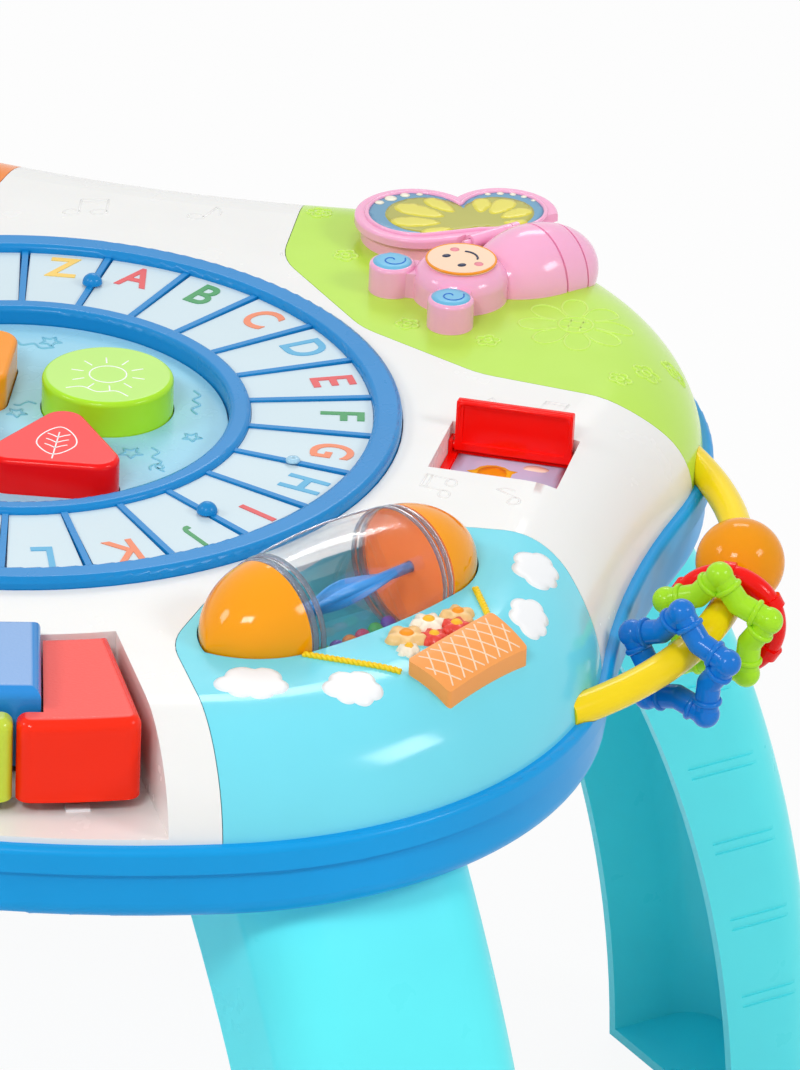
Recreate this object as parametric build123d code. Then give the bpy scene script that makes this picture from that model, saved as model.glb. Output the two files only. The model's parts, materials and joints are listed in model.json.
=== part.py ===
from build123d import *
import os
from math import cos, degrees, radians, sin, sqrt

# Toddler activity table: a domed top with toys on it, standing on four splayed legs.
# Millimetres, +Z up, floor at Z = 0. The piano faces -Y and the bead handle faces +X.

# Levels and plan of the top
leg_height = 290.0
tray_height = 28.0
dome_height = 35.0
lobe_offset = 82.0
lobe_r = 148.0
side_reach = 224.0
front_reach = 246.0
seat_gap = 0.15
run_gap = 0.4
overrun = 8.0

# Shells
shell_wall = 4.0
panel_t = 2.0
panel_seam = 0.3
crown_r = 38.0
tray_wall = 3.0
tray_lip = 4.0
lip_height = 9.0
lip_step = 2.0
lip_round = 2.5
tray_round = 7.0
flange_width = 11.0
flange_t = 3.0

# Corner panel edges, as shares of the side reach
panel_round = 32.0
panel_inner_share = 1.2
back_panel_shares = (
    (0.205, 1.3), (0.26, 0.66), (0.445, 0.45), (0.66, 0.345), (0.93, 0.315), (1.3, 0.50), (1.3, 1.3))
front_panel_shares = (
    (0.77, -1.3), (0.43, -0.67), (0.45, -0.50), (0.72, -0.18), (0.885, -0.16), (1.3, -0.57), (1.3, -1.3))

# Letter dial
dial_r = 135.0
dial_rim = 10.0
dial_inner_r = 75.0
inner_rim = 7.5
dial_rise = 4.2
inner_rise = 3.4
rim_round = 2.0
well_depth = 6.0
well_floor = 3.0
well_wall = 3.0
plate_t = 4.2
tile_rise = 1.2
spoke_width = 2.2
spoke_rise = 2.0
letter_count = 26
knob_r = 3.6
knob_seat_r = 103.0
knob_sectors = (0, 9, 18)

# Centre panel and push buttons
centre_t = 3.0
centre_ledge = 2.5
button_rise = 13.0
button_round = 2.0
button_travel = 3.0
button_flange = 1.5
button_flange_t = 2.0
stem_r = 5.0
stem_length = 5.0
round_button_r = 23.0
triangle_r = 33.0
square_side = 41.0
hexagon_r = 24.5
button_corner = 8.0
round_button_x = 29.0
round_button_y = 17.5
triangle_x = 26.0
triangle_y = -38.0
square_x = -27.0
square_y = 19.0
hexagon_x = -25.0
hexagon_y = -36.0
triangle_turn = 98.0
square_turn = 8.0
pad_r = 6.0
pad_t = 1.2
sheet_t = 1.6
pillar_r = 4.0
pillar_place = 42.0

# Piano
key_count = 5
key_pitch = 10.6
key_gap = 0.8
key_back_r = 171.0
key_front_r = 231.5
key_rise = 1.5
key_lift = 5.0
key_wall = 2.5
key_round = 4.0
key_corner = 5.0
key_drop = 4.0
shelf_rise = 2.0
recess_gap = 4.0
raised_bounds = (1, 2, 4)
raised_width = 17.0
raised_front_r = 221.0
raised_rise = 8.5
raised_depth = 20.0
raised_slack = 2.6
pivot_r = 179.5
pivot_depth = 22.0
pin_r = 1.5
post_width = 5.0
post_depth = 6.0
post_cap = 3.5
pin_end_gap = 0.8
key_pad_width = 8.0
key_pad_depth = 4.0

# Flip door
pocket_x = 170.5
pocket_y = 19.5
pocket_width = 45.5
pocket_length = 37.0
pocket_depth = 11.5
pocket_wall = 2.5
frame_t = 2.0
frame_border = 3.0
frame_sink = 0.8
door_height = 17.3
door_t = 3.0
door_border = 2.5
door_sink = 1.0
door_pin_r = 1.5
door_lug_t = 1.2
door_lug_margin = 1.3
door_lean = 4.0

# Airship
ship_x = 142.0
ship_y = -103.0
ship_turn = 57.0
ship_rise = 1.0
drum_r = 24.5
drum_end_r = 22.0
drum_half = 32.0
drum_wall = 1.6
cap_length = 28.0
cap_steps = 12
cap_waist_share = 0.66
cap_waist_r_share = 0.64
ship_gap = 0.6
pit_clear = 1.5
pit_wall = 2.5
axle_r = 2.0
vane_r = 8.5
vane_t = 1.6
vane_twist = 220.0
vane_steps = 7
ball_r = 2.75
ball_count = 9

# Basket relief under the airship
basket_x = 193.0
basket_y = -129.5
basket_turn = 66.0
basket_top = 46.0
basket_bottom = 43.0
basket_length = 17.0
basket_rise = 5.0
basket_round = 1.6

# Butterfly
bug_x = 127.0
bug_y = 136.8
bug_turn = 50.0
head_r = 17.0
head_rise = 13.6
head_round = 7.0
face_r = 12.5
face_t = 1.2
hand_r = 8.3
hand_rise = 11.0
hand_round = 1.5
hand_out = 17.5
hand_side = 17.5
abdomen_r = 18.5
abdomen_half = 26.0
abdomen_out = 33.0
abdomen_groove = 0.9
groove_places_shares = (0.06, 0.48)
arm_width = 12.0
wing_t = 3.4
wing_rise = 9.5
wing_base_rise = 5.0
wing_inset = 2.5
wing_round = 1.2
wing_hinge_side = 21.0
wing_hinge_out = 29.0
wing_barrel_r = 2.6
wing_barrel = 18.0
wing_pin_r = 1.2
wing_lug = 3.0
wing_lobes_shares = ((0.221, 0.679, 0.321), (0.627, 0.476, 0.286), (0.41, 0.40, 0.115))
wing_size = 70.0

# Bead handle
bar_centre_x = 97.9
bar_arc_r = 158.3
bar_r = 5.5
bar_end = 39.0
bar_lift = 2.0
bead_bore = 0.4
ball_bead_r = 15.5
ball_place = 9.5
ring_bead_r = 17.0
ring_tube_r = 4.0
ring_collar_r = 4.9
ring_collar = 4.0
ring_collars = 6
ring_place = -2.0
star_points = 5
star_tip_r = 19.5
star_corner_r = 12.6
star_tube_r = 4.2
star_knob_r = 4.8
green_star_place = -6.6
blue_star_place = -18.0

# Legs
leg_width = 86.0
leg_wall = 4.0
leg_top_t = 4.0
leg_sole_t = 4.0
leg_corner_r = 20.0
leg_inner_top = 180.0
leg_inner_mid = 254.0
leg_inner_foot = 292.0
leg_top_depth = 65.0
leg_mid_depth = 52.0
leg_foot_depth = 44.0
leg_mid_share = 0.58
leg_grooves_shares = (0.2, 0.32, 0.44, 0.56, 0.68)
leg_groove = 1.5
leg_groove_pitch = 4.5
leg_border = 7.0

# Gears on the orange corner
gear_module = 10.0 / 3
gear_teeth = (18, 12, 9)
gear_t = 9.0
gear_rise = 2.0
gear_centre_gap = 0.7
gear_x = -126.0
gear_y = 122.0
gear_turns = (112.0, 20.0)
gear_bore_r = 4.0
gear_cap_r = 7.0
gear_cap_t = 3.0
addendum_share = 0.8
dedendum_share = 1.15
tooth_root_share = 0.52
tooth_tip_share = 0.24

# Steering wheel on the yellow corner
wheel_x = -140.0
wheel_y = -130.0
wheel_r = 36.0
wheel_tube_r = 5.5
wheel_rise = 15.0
wheel_hub_r = 15.0
wheel_hub_t = 12.0
wheel_spoke = 10.0
wheel_spoke_t = 6.0
wheel_post_r = 6.0
horn_r = 9.5
horn_rise = 5.0
horn_travel = 2.0
horn_floor = 3.0
horn_round = 1.5

# Works inside the tray
board_x = -95.0
board_y = 0.0
board_length = 90.0
board_width = 60.0
board_t = 1.6
board_lift = 6.0
board_inset = 5.0
chip_side = 14.0
chip_t = 2.5
speaker_y = 105.0
speaker_r = 28.0
speaker_height = 16.0
speaker_flange = 3.0
magnet_r = 14.0
cone_t = 1.0
cone_gap = 1.5
grille_hole_r = 1.6
grille_rings_shares = ((0.0, 1), (0.3, 6), (0.6, 12))
cell_r = 7.1
cell_length = 50.0
cell_gap = 0.4
cell_nub_r = 2.7
cell_nub = 1.0
contact_t = 0.6
contact_width = 8.0
bay_y = -95.0
bay_wall = 2.0
cover_t = 2.5
cover_lip = 3.0
switch_x = -60.0
switch_y = -95.0
switch_length = 9.0
switch_width = 5.0
switch_drop = 2.0
switch_travel = 3.0
switch_head_t = 2.0
screw_r = 1.6
screw_head_r = 3.2
screw_head_t = 1.8
screw_length = 14.0
screw_boss_r = 4.5
screw_turns = (-9.0, 22.5, 67.5, 112.5, 157.5, 202.5)
screw_place = 188.0
leg_screw_side = 22.0
leg_screw_out = 222.0

# Levels worked out from the sizes above
rim_z = leg_height + tray_height
deck_z = rim_z + dome_height
rim_inset = crown_r - sqrt(crown_r**2 - (crown_r - dome_height) ** 2)
dome_grow = rim_inset - tray_lip
well_z = deck_z - well_depth
floor_z = leg_height + tray_wall
shelf_z = rim_z + shelf_rise
centre_z = well_z + centre_t
bar_z = rim_z + bar_lift
leg_outer_top = leg_inner_top + leg_top_depth
leg_outer_mid = leg_inner_mid + leg_mid_depth
leg_outer_foot = leg_inner_foot + leg_foot_depth

# Plan reach of the feet and of the beads: the part is centred between them
foot_reach = (leg_outer_foot + leg_width / 2 - 2 * leg_corner_r) / sqrt(2) + leg_corner_r
star_out_r = bar_arc_r + star_tip_r * cos(radians(90 - 360 / star_points))
bead_reach = bar_centre_x + star_out_r * cos(radians(green_star_place)) + star_knob_r
shift_x = (foot_reach - bead_reach) / 2

parts = {}


def keep(name, shape):
    """Store a piece under its node name."""
    parts[name] = shape


def polar(radius, angle):
    """Point in plan at a radius and an angle in degrees."""
    return Vector(radius * cos(radians(angle)), radius * sin(radians(angle)), 0)


def arc_about(centre, start, end):
    """Arc of under half a circle about a centre."""
    out = (start - centre).normalized() + (end - centre).normalized()
    return ThreePointArc(start, centre + out.normalized() * (start - centre).length, end)


def outline(grow):
    """Plan of the table: four lobes joined by side arcs, moved outward by grow."""
    lobes = [polar(lobe_offset * sqrt(2), 45 + 90 * k) for k in range(4)]
    edges = []
    starts = []
    ends = []
    for k in range(4):
        reach = front_reach if k == 3 else side_reach
        part = reach - lobe_offset
        side_r = (part**2 + lobe_offset**2 - lobe_r**2) / (2 * (lobe_r - part))
        centre = polar(1, 90 * k) * (reach + side_r)
        sign = 1 if side_r > 0 else -1
        touch = []
        for lobe in (lobes[k - 1], lobes[k]):
            touch.append(lobe + (centre - lobe).normalized() * (sign * (lobe_r + grow)))
        edges.append(arc_about(centre, touch[0], touch[1]))
        starts.append(touch[0])
        ends.append(touch[1])
    for k in range(4):
        edges.append(arc_about(lobes[k], ends[k], starts[(k + 1) % 4]))
    return make_face(edges)


def slab(face, low, high):
    """Extrude a plan face between two levels."""
    return extrude(Pos(0, 0, low) * face, high - low)


def dome(inset):
    """Solid of the domed top, moved inward by inset and reaching below the rim."""
    low = deck_z - crown_r - overrun
    block = slab(outline(dome_grow - inset), low, deck_z - inset)
    return fillet(block.faces().sort_by(Axis.Z)[-1].edges(), crown_r - inset)


def above(level):
    """Everything over the table above a level."""
    side = 4 * side_reach
    return Pos(0, 0, level) * Box(side, side, side, align=(Align.CENTER, Align.CENTER, Align.MIN))


def rod(radius, low, high):
    """Upright cylinder between two levels."""
    return Pos(0, 0, low) * Cylinder(radius, high - low, align=(Align.CENTER, Align.CENTER, Align.MIN))


def cross_rod(radius, length):
    """Cylinder along X, centred."""
    return Rot(0, 90, 0) * Cylinder(radius, length)


def sector(inner, outer, middle, half, low, high):
    """Annular sector about the dial axis."""
    a = polar(inner, middle - half)
    b = polar(outer, middle - half)
    c = polar(outer, middle + half)
    d = polar(inner, middle + half)
    origin = Vector(0, 0, 0)
    face = make_face([Line(a, b), arc_about(origin, b, c), Line(c, d), arc_about(origin, d, a)])
    return slab(face, low, high)


def turned(shape, x, y, angle):
    """Turn a shape about Z and carry it to a place in plan."""
    return Pos(x, y, 0) * Rot(0, 0, angle) * shape


def region(shares, side, shrink):
    """Upright prism over a corner panel, right (1) or left (-1), moved in by shrink."""
    points = [Vector(side * u * side_reach, v * side_reach) for u, v in shares]
    face = make_face(Polyline(*points, close=True))
    inner = [v for v in face.vertices() if max(abs(v.X), abs(v.Y)) < side_reach * panel_inner_share]
    face = fillet(inner, panel_round)
    if shrink > 0:
        face = offset(face, -shrink)
    return slab(face, leg_height, deck_z + overrun)


# Toy outlines used by more than one piece


def ship_profile(grow):
    """Radius line of the whole airship from end to end, as edges in the XY plane."""
    end = drum_half + cap_length
    waist = Vector(drum_half + cap_length * cap_waist_share, drum_end_r * cap_waist_r_share + grow)
    side = Vector(drum_half, drum_end_r + grow)
    return [
        ThreePointArc(Vector(-end - grow, 0), Vector(-waist.X, waist.Y), Vector(-side.X, side.Y)),
        ThreePointArc(Vector(-side.X, side.Y), Vector(0, drum_r + grow), side),
        ThreePointArc(side, waist, Vector(end + grow, 0)),
        Line(Vector(end + grow, 0), Vector(-end - grow, 0)),
    ]


def ship_body(grow):
    """Spindle of the airship along X through the origin."""
    return revolve(make_face(ship_profile(grow)), Axis.X)


def ship_cap():
    """Nose of the airship on +X, clear of the drum."""
    end = drum_half + cap_length
    start = drum_half + ship_gap
    side = Vector(start, drum_end_r)
    waist = Vector(drum_half + cap_length * cap_waist_share, drum_end_r * cap_waist_r_share)
    tip = Vector(end, 0)
    foot = Vector(start, 0)
    arc = ThreePointArc(side, waist, tip)
    nose = Spline(*[arc @ (k / cap_steps) for k in range(cap_steps + 1)])
    return revolve(make_face([Line(foot, side), nose, Line(tip, foot)]), Axis.X)


def ship_plan(grow):
    """Plan outline of the airship, both sides of its axis."""
    half = make_face(ship_profile(grow))
    return half + mirror(half, Plane.XZ)


ship_z = deck_z + ship_rise
pit_z = ship_z - drum_r - pit_clear


def ship_place(shape):
    """Carry a piece built along X to the airship's axis."""
    return Pos(ship_x, ship_y, 0) * Rot(0, 0, ship_turn) * shape


def bug_place(shape):
    """Carry a piece built about the butterfly's head to its place."""
    return turned(shape, bug_x, bug_y, bug_turn)


def bar_tube(radius, half):
    """Arc of the bead handle, half degrees to each side, with a tube radius."""
    path = CenterArc((bar_centre_x, 0, bar_z), bar_arc_r, -half, 2 * half)
    section = Plane(origin=path @ 0, z_dir=path % 0) * Circle(radius)
    return sweep(section, path)


def bead_place(shape, angle, drop):
    """Carry a bead built about the Y axis onto the handle's arc, hung lower by drop."""
    return Pos(bar_centre_x, 0, bar_z - drop) * Rot(0, 0, angle) * Pos(bar_arc_r, 0, 0) * shape


# Piano layout

recess_half = key_count * key_pitch / 2 + degrees(recess_gap / key_front_r)
key_top = deck_z + key_rise
key_low = shelf_z + key_lift
raised_low = deck_z - raised_depth
pivot_z = deck_z - pivot_depth


def key_angle(index):
    """Middle angle of a wide key, counted from the left as 1."""
    return -90 + (index - (key_count + 1) / 2) * key_pitch


def bound_angle(index):
    """Angle of the line between wide keys index and index + 1."""
    return key_angle(index) + key_pitch / 2


def radial_block(inner, outer, width, low, high, angle):
    """Box along a radius."""
    block = Box(outer - inner, width, high - low, align=(Align.MIN, Align.CENTER, Align.MIN))
    return Rot(0, 0, angle) * Pos(inner, 0, low) * block


def raised_notch(bound, grow):
    """Space that a raised key needs in its neighbours."""
    width = raised_width + 2 * key_gap + 2 * grow
    front = raised_front_r + raised_slack + grow
    return radial_block(key_back_r - overrun, front, width, shelf_z, key_top + overrun, bound_angle(bound))


def pivot_span(index):
    """Tangential reach of a wide key at its pivot, low side and high side."""
    half = pivot_r * sin(radians(key_pitch / 2)) - key_gap
    cut = raised_width / 2 + key_gap
    low = -half + (cut if index - 1 in raised_bounds else 0)
    high = half - (cut if index in raised_bounds else 0)
    return low, high


def key_pivots():
    """Each key's angle, middle of its pivot along the tangent, and pin length."""
    pivots = []
    for index in range(1, key_count + 1):
        low, high = pivot_span(index)
        pivots.append((key_angle(index), (low + high) / 2, high - low - 2 * pin_end_gap))
    for bound in raised_bounds:
        pivots.append((bound_angle(bound), 0, raised_width - 2 * pin_end_gap))
    return pivots


def pivot_rod(radius, length, angle, middle):
    """Cylinder along the tangent at a key's pivot."""
    rod_along = Rot(90, 0, 0) * Cylinder(radius, length)
    return Rot(0, 0, angle) * Pos(pivot_r, middle, pivot_z) * rod_along


# Push button outlines, each with its place

buttons = {
    "round_button": (round_button_x, round_button_y, Circle(round_button_r)),
    "triangle_button": (
        triangle_x, triangle_y, Rot(0, 0, triangle_turn) * RegularPolygon(triangle_r, 3)),
    "square_button": (square_x, square_y, Rot(0, 0, square_turn) * Rectangle(square_side, square_side)),
    "hexagon_button": (hexagon_x, hexagon_y, RegularPolygon(hexagon_r, 6)),
}
for name, (x, y, face) in buttons.items():
    if len(face.vertices()) > 1:
        buttons[name] = (x, y, fillet(face.vertices(), button_corner))


# Base tray


def screw_places():
    """Plan places of the housing screws."""
    return [polar(screw_place, angle) for angle in screw_turns]


def leg_screw_places():
    """Plan places of the two screws of each leg."""
    places = []
    for k in range(4):
        for side in (-1, 1):
            places.append(Vector(leg_screw_out, side * leg_screw_side, 0).rotate(Axis.Z, 45 + 90 * k))
    return places


bay_length = cell_length + cell_nub + 2 * contact_t + 2 * cell_gap
bay_width = 6 * cell_r + 4 * cell_gap
bay_height = 2 * cell_r + 2 * cell_gap
bay_low = leg_height + cover_t + seat_gap
bay_high = bay_low + bay_height


def upright_box(x, y, length, width, low, high):
    """Box with its plan centre at a place, between two levels."""
    block = Box(length, width, high - low, align=(Align.CENTER, Align.CENTER, Align.MIN))
    return Pos(x, y, low) * block


def make_tray():
    lip = slab(outline(0), rim_z - lip_height, rim_z)
    lip = fillet(lip.faces().sort_by(Axis.Z)[-1].edges(), lip_round)
    skirt = slab(outline(-lip_step), leg_height, rim_z - lip_height)
    skirt = fillet(skirt.faces().sort_by(Axis.Z)[0].edges(), tray_round)
    tray = skirt + lip
    tray -= slab(outline(-lip_step - tray_wall), floor_z, rim_z - flange_t)
    tray -= slab(outline(-flange_width), rim_z - flange_t, rim_z + overrun)
    tray += upright_box(
        0, bay_y, bay_length + 2 * bay_wall, bay_width + 2 * bay_wall, leg_height, bay_high + bay_wall)
    tray -= upright_box(0, bay_y, bay_length, bay_width, leg_height - overrun, bay_high)
    ledge = 2 * (cover_lip + seat_gap)
    tray -= upright_box(0, bay_y, bay_length + ledge, bay_width + ledge, leg_height - overrun, bay_low)
    for x, y in ((1, 1), (-1, 1), (-1, -1), (1, -1)):
        tray += Pos(x * pillar_place, y * pillar_place, 0) * rod(pillar_r, leg_height, sheet_low)
        corner_x = board_x + x * (board_length / 2 - board_inset)
        corner_y = board_y + y * (board_width / 2 - board_inset)
        tray += Pos(corner_x, corner_y, 0) * rod(pillar_r, leg_height, floor_z + board_lift)
    for share, count in grille_rings_shares:
        for k in range(count):
            spot = polar(share * speaker_r, 360 * k / count)
            hole = rod(grille_hole_r, leg_height - overrun, floor_z + overrun)
            tray -= Pos(spot.X, speaker_y + spot.Y, 0) * hole
    slot = switch_length + 2 * switch_travel + 2 * run_gap
    low = leg_height - overrun
    tray -= upright_box(switch_x, switch_y, slot, switch_width + 2 * run_gap, low, floor_z + overrun)
    for spot in screw_places():
        tray -= Pos(spot.X, spot.Y, 0) * rod(screw_r + seat_gap, low, floor_z + overrun)
        tray -= Pos(spot.X, spot.Y, 0) * rod(screw_head_r + seat_gap, low, leg_height + screw_head_t)
    for spot in leg_screw_places():
        tray += Pos(spot.X, spot.Y, 0) * rod(screw_boss_r, leg_height, leg_height + screw_length)
        tray -= Pos(spot.X, spot.Y, 0) * rod(screw_r + seat_gap, low, leg_height + screw_length)
    return tray - bar_tube(bar_r + seat_gap, bar_end)


# White top shell


def make_top_shell(outer, middle, inner, regions):
    shell = outer - inner
    well_r = dial_r + run_gap
    shell += rod(well_r + well_wall, well_z - well_floor, deck_z)
    recess = (key_back_r - recess_gap, front_reach + overrun, -90, recess_half)
    wall_deg = degrees(key_wall / key_back_r)
    wall = sector(recess[0] - key_wall, recess[1], -90, recess_half + wall_deg, rim_z, deck_z)
    shell += wall & outer
    pocket = upright_box(
        pocket_x, pocket_y, pocket_width + 2 * pocket_wall, pocket_length + 2 * pocket_wall,
        deck_z - pocket_depth - pocket_wall, deck_z)
    shell += pocket & outer
    pit = ship_place(slab(ship_plan(pit_wall + ship_gap), pit_z - pit_wall, deck_z))
    shell += pit & outer
    for spot in screw_places():
        boss = Pos(spot.X, spot.Y, 0) * rod(screw_boss_r, floor_z, deck_z)
        shell += boss & middle
    for space in regions:
        shell -= space & (outer - middle)
    shell -= rod(well_r, well_z, deck_z + overrun)
    shell -= rod(dial_inner_r - run_gap - centre_ledge, well_z - well_floor - overrun, deck_z)
    shell -= sector(*recess, shelf_z, deck_z + overrun)
    shell -= upright_box(
        pocket_x, pocket_y, pocket_width, pocket_length, deck_z - pocket_depth, deck_z + overrun)
    shell -= ship_place(slab(ship_plan(ship_gap), pit_z, deck_z + overrun))
    for angle, middle_t, length in key_pivots():
        post = upright_box(pivot_r, middle_t, post_depth, post_width, rim_z, pivot_z + post_cap)
        shell += Rot(0, 0, angle) * post
        shell -= pivot_rod(pin_r + seat_gap / 2, post_width + overrun, angle, middle_t)
    for spot in screw_places():
        hole = rod(screw_r + seat_gap, floor_z - overrun, leg_height + screw_length)
        shell -= Pos(spot.X, spot.Y, 0) * hole
    shell -= bar_tube(bar_r + seat_gap, bar_end)
    return shell & above(floor_z)


# Dial


def make_dial():
    low = well_z + run_gap
    plate_z = low + plate_t
    frame = rod(dial_r, low, plate_z) - rod(dial_inner_r, low, plate_z)
    outer = rod(dial_r, plate_z, deck_z + dial_rise) - rod(dial_r - dial_rim, plate_z, deck_z + dial_rise)
    inner = rod(dial_inner_r + inner_rim, plate_z, deck_z + inner_rise)
    inner -= rod(dial_inner_r, plate_z, deck_z + inner_rise)
    for rim in (outer, inner):
        frame += fillet(rim.faces().sort_by(Axis.Z)[-1].edges(), rim_round)
    length = dial_r - dial_rim - dial_inner_r - inner_rim
    tiles = []
    step = 360 / letter_count
    spoke_z = deck_z + spoke_rise
    for k in range(letter_count):
        angle = 90 - step * k
        middle = (dial_inner_r + inner_rim + dial_r - dial_rim) / 2
        spoke = upright_box(middle, 0, length + 2 * run_gap, spoke_width, plate_z, spoke_z)
        frame += Rot(0, 0, angle) * spoke
        inner_r = dial_inner_r + inner_rim + seat_gap
        outer_r = dial_r - dial_rim - seat_gap
        half = step / 2 - degrees((spoke_width / 2 + seat_gap) / inner_r)
        tiles.append(sector(inner_r, outer_r, angle - step / 2, half, plate_z, deck_z + tile_rise))
    knobs = []
    for k in knob_sectors:
        spot = polar(knob_seat_r, 90 - step * k)
        dome_ball = Pos(spot.X, spot.Y, spoke_z) * Sphere(knob_r)
        knobs.append(dome_ball & above(spoke_z))
    keep("dial_frame", frame)
    keep("letter_tiles", tiles)
    keep("dial_knobs", knobs)


# Centre panel, buttons and the rubber sheet that they press

flange_top = well_z - run_gap
stem_low = flange_top - button_flange_t - stem_length
pad_top = stem_low - button_travel - run_gap
sheet_top = pad_top - pad_t
sheet_low = sheet_top - sheet_t


def make_centre():
    panel = rod(dial_inner_r - run_gap - seat_gap, well_z, centre_z)
    sheet = rod(dial_inner_r - centre_ledge - overrun, sheet_low, sheet_top)
    for name, (x, y, face) in buttons.items():
        panel -= Pos(x, y, 0) * slab(offset(face, run_gap), well_z - overrun, centre_z + overrun)
        sheet += Pos(x, y, 0) * rod(pad_r, sheet_top, pad_top)
        cap = slab(face, flange_top, centre_z + button_rise)
        cap = fillet(cap.faces().sort_by(Axis.Z)[-1].edges(), button_round)
        cap += slab(offset(face, button_flange), flange_top - button_flange_t, flange_top)
        cap += rod(stem_r, stem_low, flange_top)
        keep(name, Pos(x, y, 0) * cap)
    keep("centre_panel", panel)
    keep("button_sheet", sheet)


# Piano keys


def make_keys():
    for index in range(1, key_count + 1):
        angle = key_angle(index)
        half = key_pitch / 2 - degrees(key_gap / 2 / key_back_r)
        block = sector(key_back_r, key_front_r, angle, half, key_low, key_top)
        upright = block.edges().filter_by(Axis.Z)
        front = [e for e in upright if Vector(e.center().X, e.center().Y).length > pivot_r]
        block = fillet(front, key_corner)
        top_edges = block.faces().sort_by(Axis.Z)[-1].edges()
        block = fillet(top_edges, key_round)
        wall_deg = degrees(key_wall / key_back_r)
        hollow = sector(
            key_back_r + key_wall, key_front_r - key_wall, angle, half - wall_deg,
            key_low - overrun, key_top - key_wall)
        for bound in raised_bounds:
            if bound in (index - 1, index):
                block -= raised_notch(bound, 0)
                hollow -= raised_notch(bound, key_wall)
        low, high = pivot_span(index)
        key = block - hollow
        key -= pivot_rod(pin_r + run_gap / 2, high - low + overrun, angle, (low + high) / 2)
        keep(f"wide_key_{index}", key)
    for number, bound in enumerate(raised_bounds, 1):
        angle = bound_angle(bound)
        block = radial_block(key_back_r, raised_front_r, raised_width, raised_low, deck_z + raised_rise, 0)
        block = fillet(block.faces().sort_by(Axis.Z)[-1].edges(), key_round)
        block -= radial_block(
            key_back_r + key_wall, raised_front_r - key_wall, raised_width - 2 * key_wall,
            raised_low - overrun, deck_z + raised_rise - key_wall, 0)
        key = Rot(0, 0, angle) * block - pivot_rod(pin_r + run_gap / 2, raised_width + overrun, angle, 0)
        keep(f"raised_key_{number}", key)
    keep("key_pins", [pivot_rod(pin_r, length, angle, mid) for angle, mid, length in key_pivots()])
    pads = []
    for index in range(1, key_count + 1):
        drop = (key_front_r - pivot_r) * sin(radians(key_drop)) + run_gap
        start = key_front_r - key_wall - key_pad_depth
        pads.append(radial_block(
            start, key_front_r - key_wall, key_pad_width, shelf_z, key_low - drop, key_angle(index)))
    for bound in raised_bounds:
        drop = (raised_front_r - pivot_r) * sin(radians(key_drop)) + run_gap
        end = raised_front_r - key_wall
        pads.append(radial_block(
            end - key_pad_depth, end, key_pad_width, shelf_z, raised_low - drop, bound_angle(bound)))
    keep("key_pads", pads)


# Flip door with its frame

frame_z = deck_z - pocket_depth
door_y = pocket_y + pocket_length / 2 - door_t - run_gap
hinge_z = frame_z + frame_t + sqrt(door_pin_r**2 + (door_t / 2) ** 2) + run_gap
door_width = pocket_width - 2 * (door_lug_t + 2 * run_gap)


def make_door():
    length = pocket_length - 2 * seat_gap
    width = pocket_width - 2 * seat_gap
    frame = upright_box(pocket_x, pocket_y, width, length, frame_z, frame_z + frame_t)
    frame -= upright_box(
        pocket_x, pocket_y, width - 2 * frame_border, length - 2 * frame_border,
        frame_z + frame_t - frame_sink, frame_z + frame_t + overrun)
    pins = Pos(pocket_x, door_y, hinge_z) * cross_rod(door_pin_r + run_gap / 2, pocket_width)
    for side in (-1, 1):
        x = pocket_x + side * (width - door_lug_t) / 2
        lug_depth = 2 * (door_pin_r + door_lug_margin)
        lug = upright_box(x, door_y, door_lug_t, lug_depth, frame_z, hinge_z + door_border)
        frame += lug - pins
    low = -door_pin_r
    leaf = upright_box(0, 0, door_width, door_t, low, door_height)
    leaf = fillet(leaf.faces().sort_by(Axis.Z)[-1].edges(), door_t / 3)
    sink = upright_box(
        0, -door_t / 2, door_width - 2 * door_border, 2 * door_sink,
        low + door_border, door_height - door_border)
    leaf = leaf - sink + cross_rod(door_pin_r, pocket_width - 2 * run_gap)
    keep("door_frame", frame)
    keep("flip_door", Pos(pocket_x, door_y, hinge_z) * Rot(-door_lean, 0, 0) * leaf)


# Airship


def make_ship():
    bore = cross_rod(axle_r + run_gap / 2, 2 * (drum_half + cap_length / 2 + run_gap))
    cap = Pos(0, 0, ship_z) * (ship_cap() - bore)
    keep("airship_rear_cap", ship_place(cap))
    keep("airship_front_cap", ship_place(Rot(0, 0, 180) * cap))
    outer = ship_body(0) & Box(2 * drum_half, 4 * drum_r, 4 * drum_r)
    inner = ship_body(-drum_wall) & Box(2 * (drum_half - drum_wall), 4 * drum_r, 4 * drum_r)
    drum = outer - inner - cross_rod(axle_r + seat_gap / 2, 3 * drum_half)
    keep("airship_drum", ship_place(Pos(0, 0, ship_z) * drum))
    reach = drum_half - drum_wall - run_gap
    sections = []
    for k in range(vane_steps):
        share = k / (vane_steps - 1)
        plane = Plane(origin=(reach * (2 * share - 1), 0, 0), x_dir=(0, 1, 0), z_dir=(1, 0, 0))
        sections.append(plane * Rot(0, 0, vane_twist * share) * Rectangle(2 * vane_r, vane_t))
    vane = loft(sections) + cross_rod(axle_r, 2 * (drum_half + cap_length / 2))
    keep("airship_vane", ship_place(Pos(0, 0, ship_z) * vane))
    balls = []
    for k in range(ball_count):
        x = (k - (ball_count - 1) / 2) * (2 * ball_r + run_gap)
        inner_r = drum_r - (drum_r - drum_end_r) * (x / drum_half) ** 2 - drum_wall
        balls.append(ship_place(Pos(x, 0, ship_z - inner_r + ball_r + run_gap / 2) * Sphere(ball_r)))
    keep("rattle_balls", balls)


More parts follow.
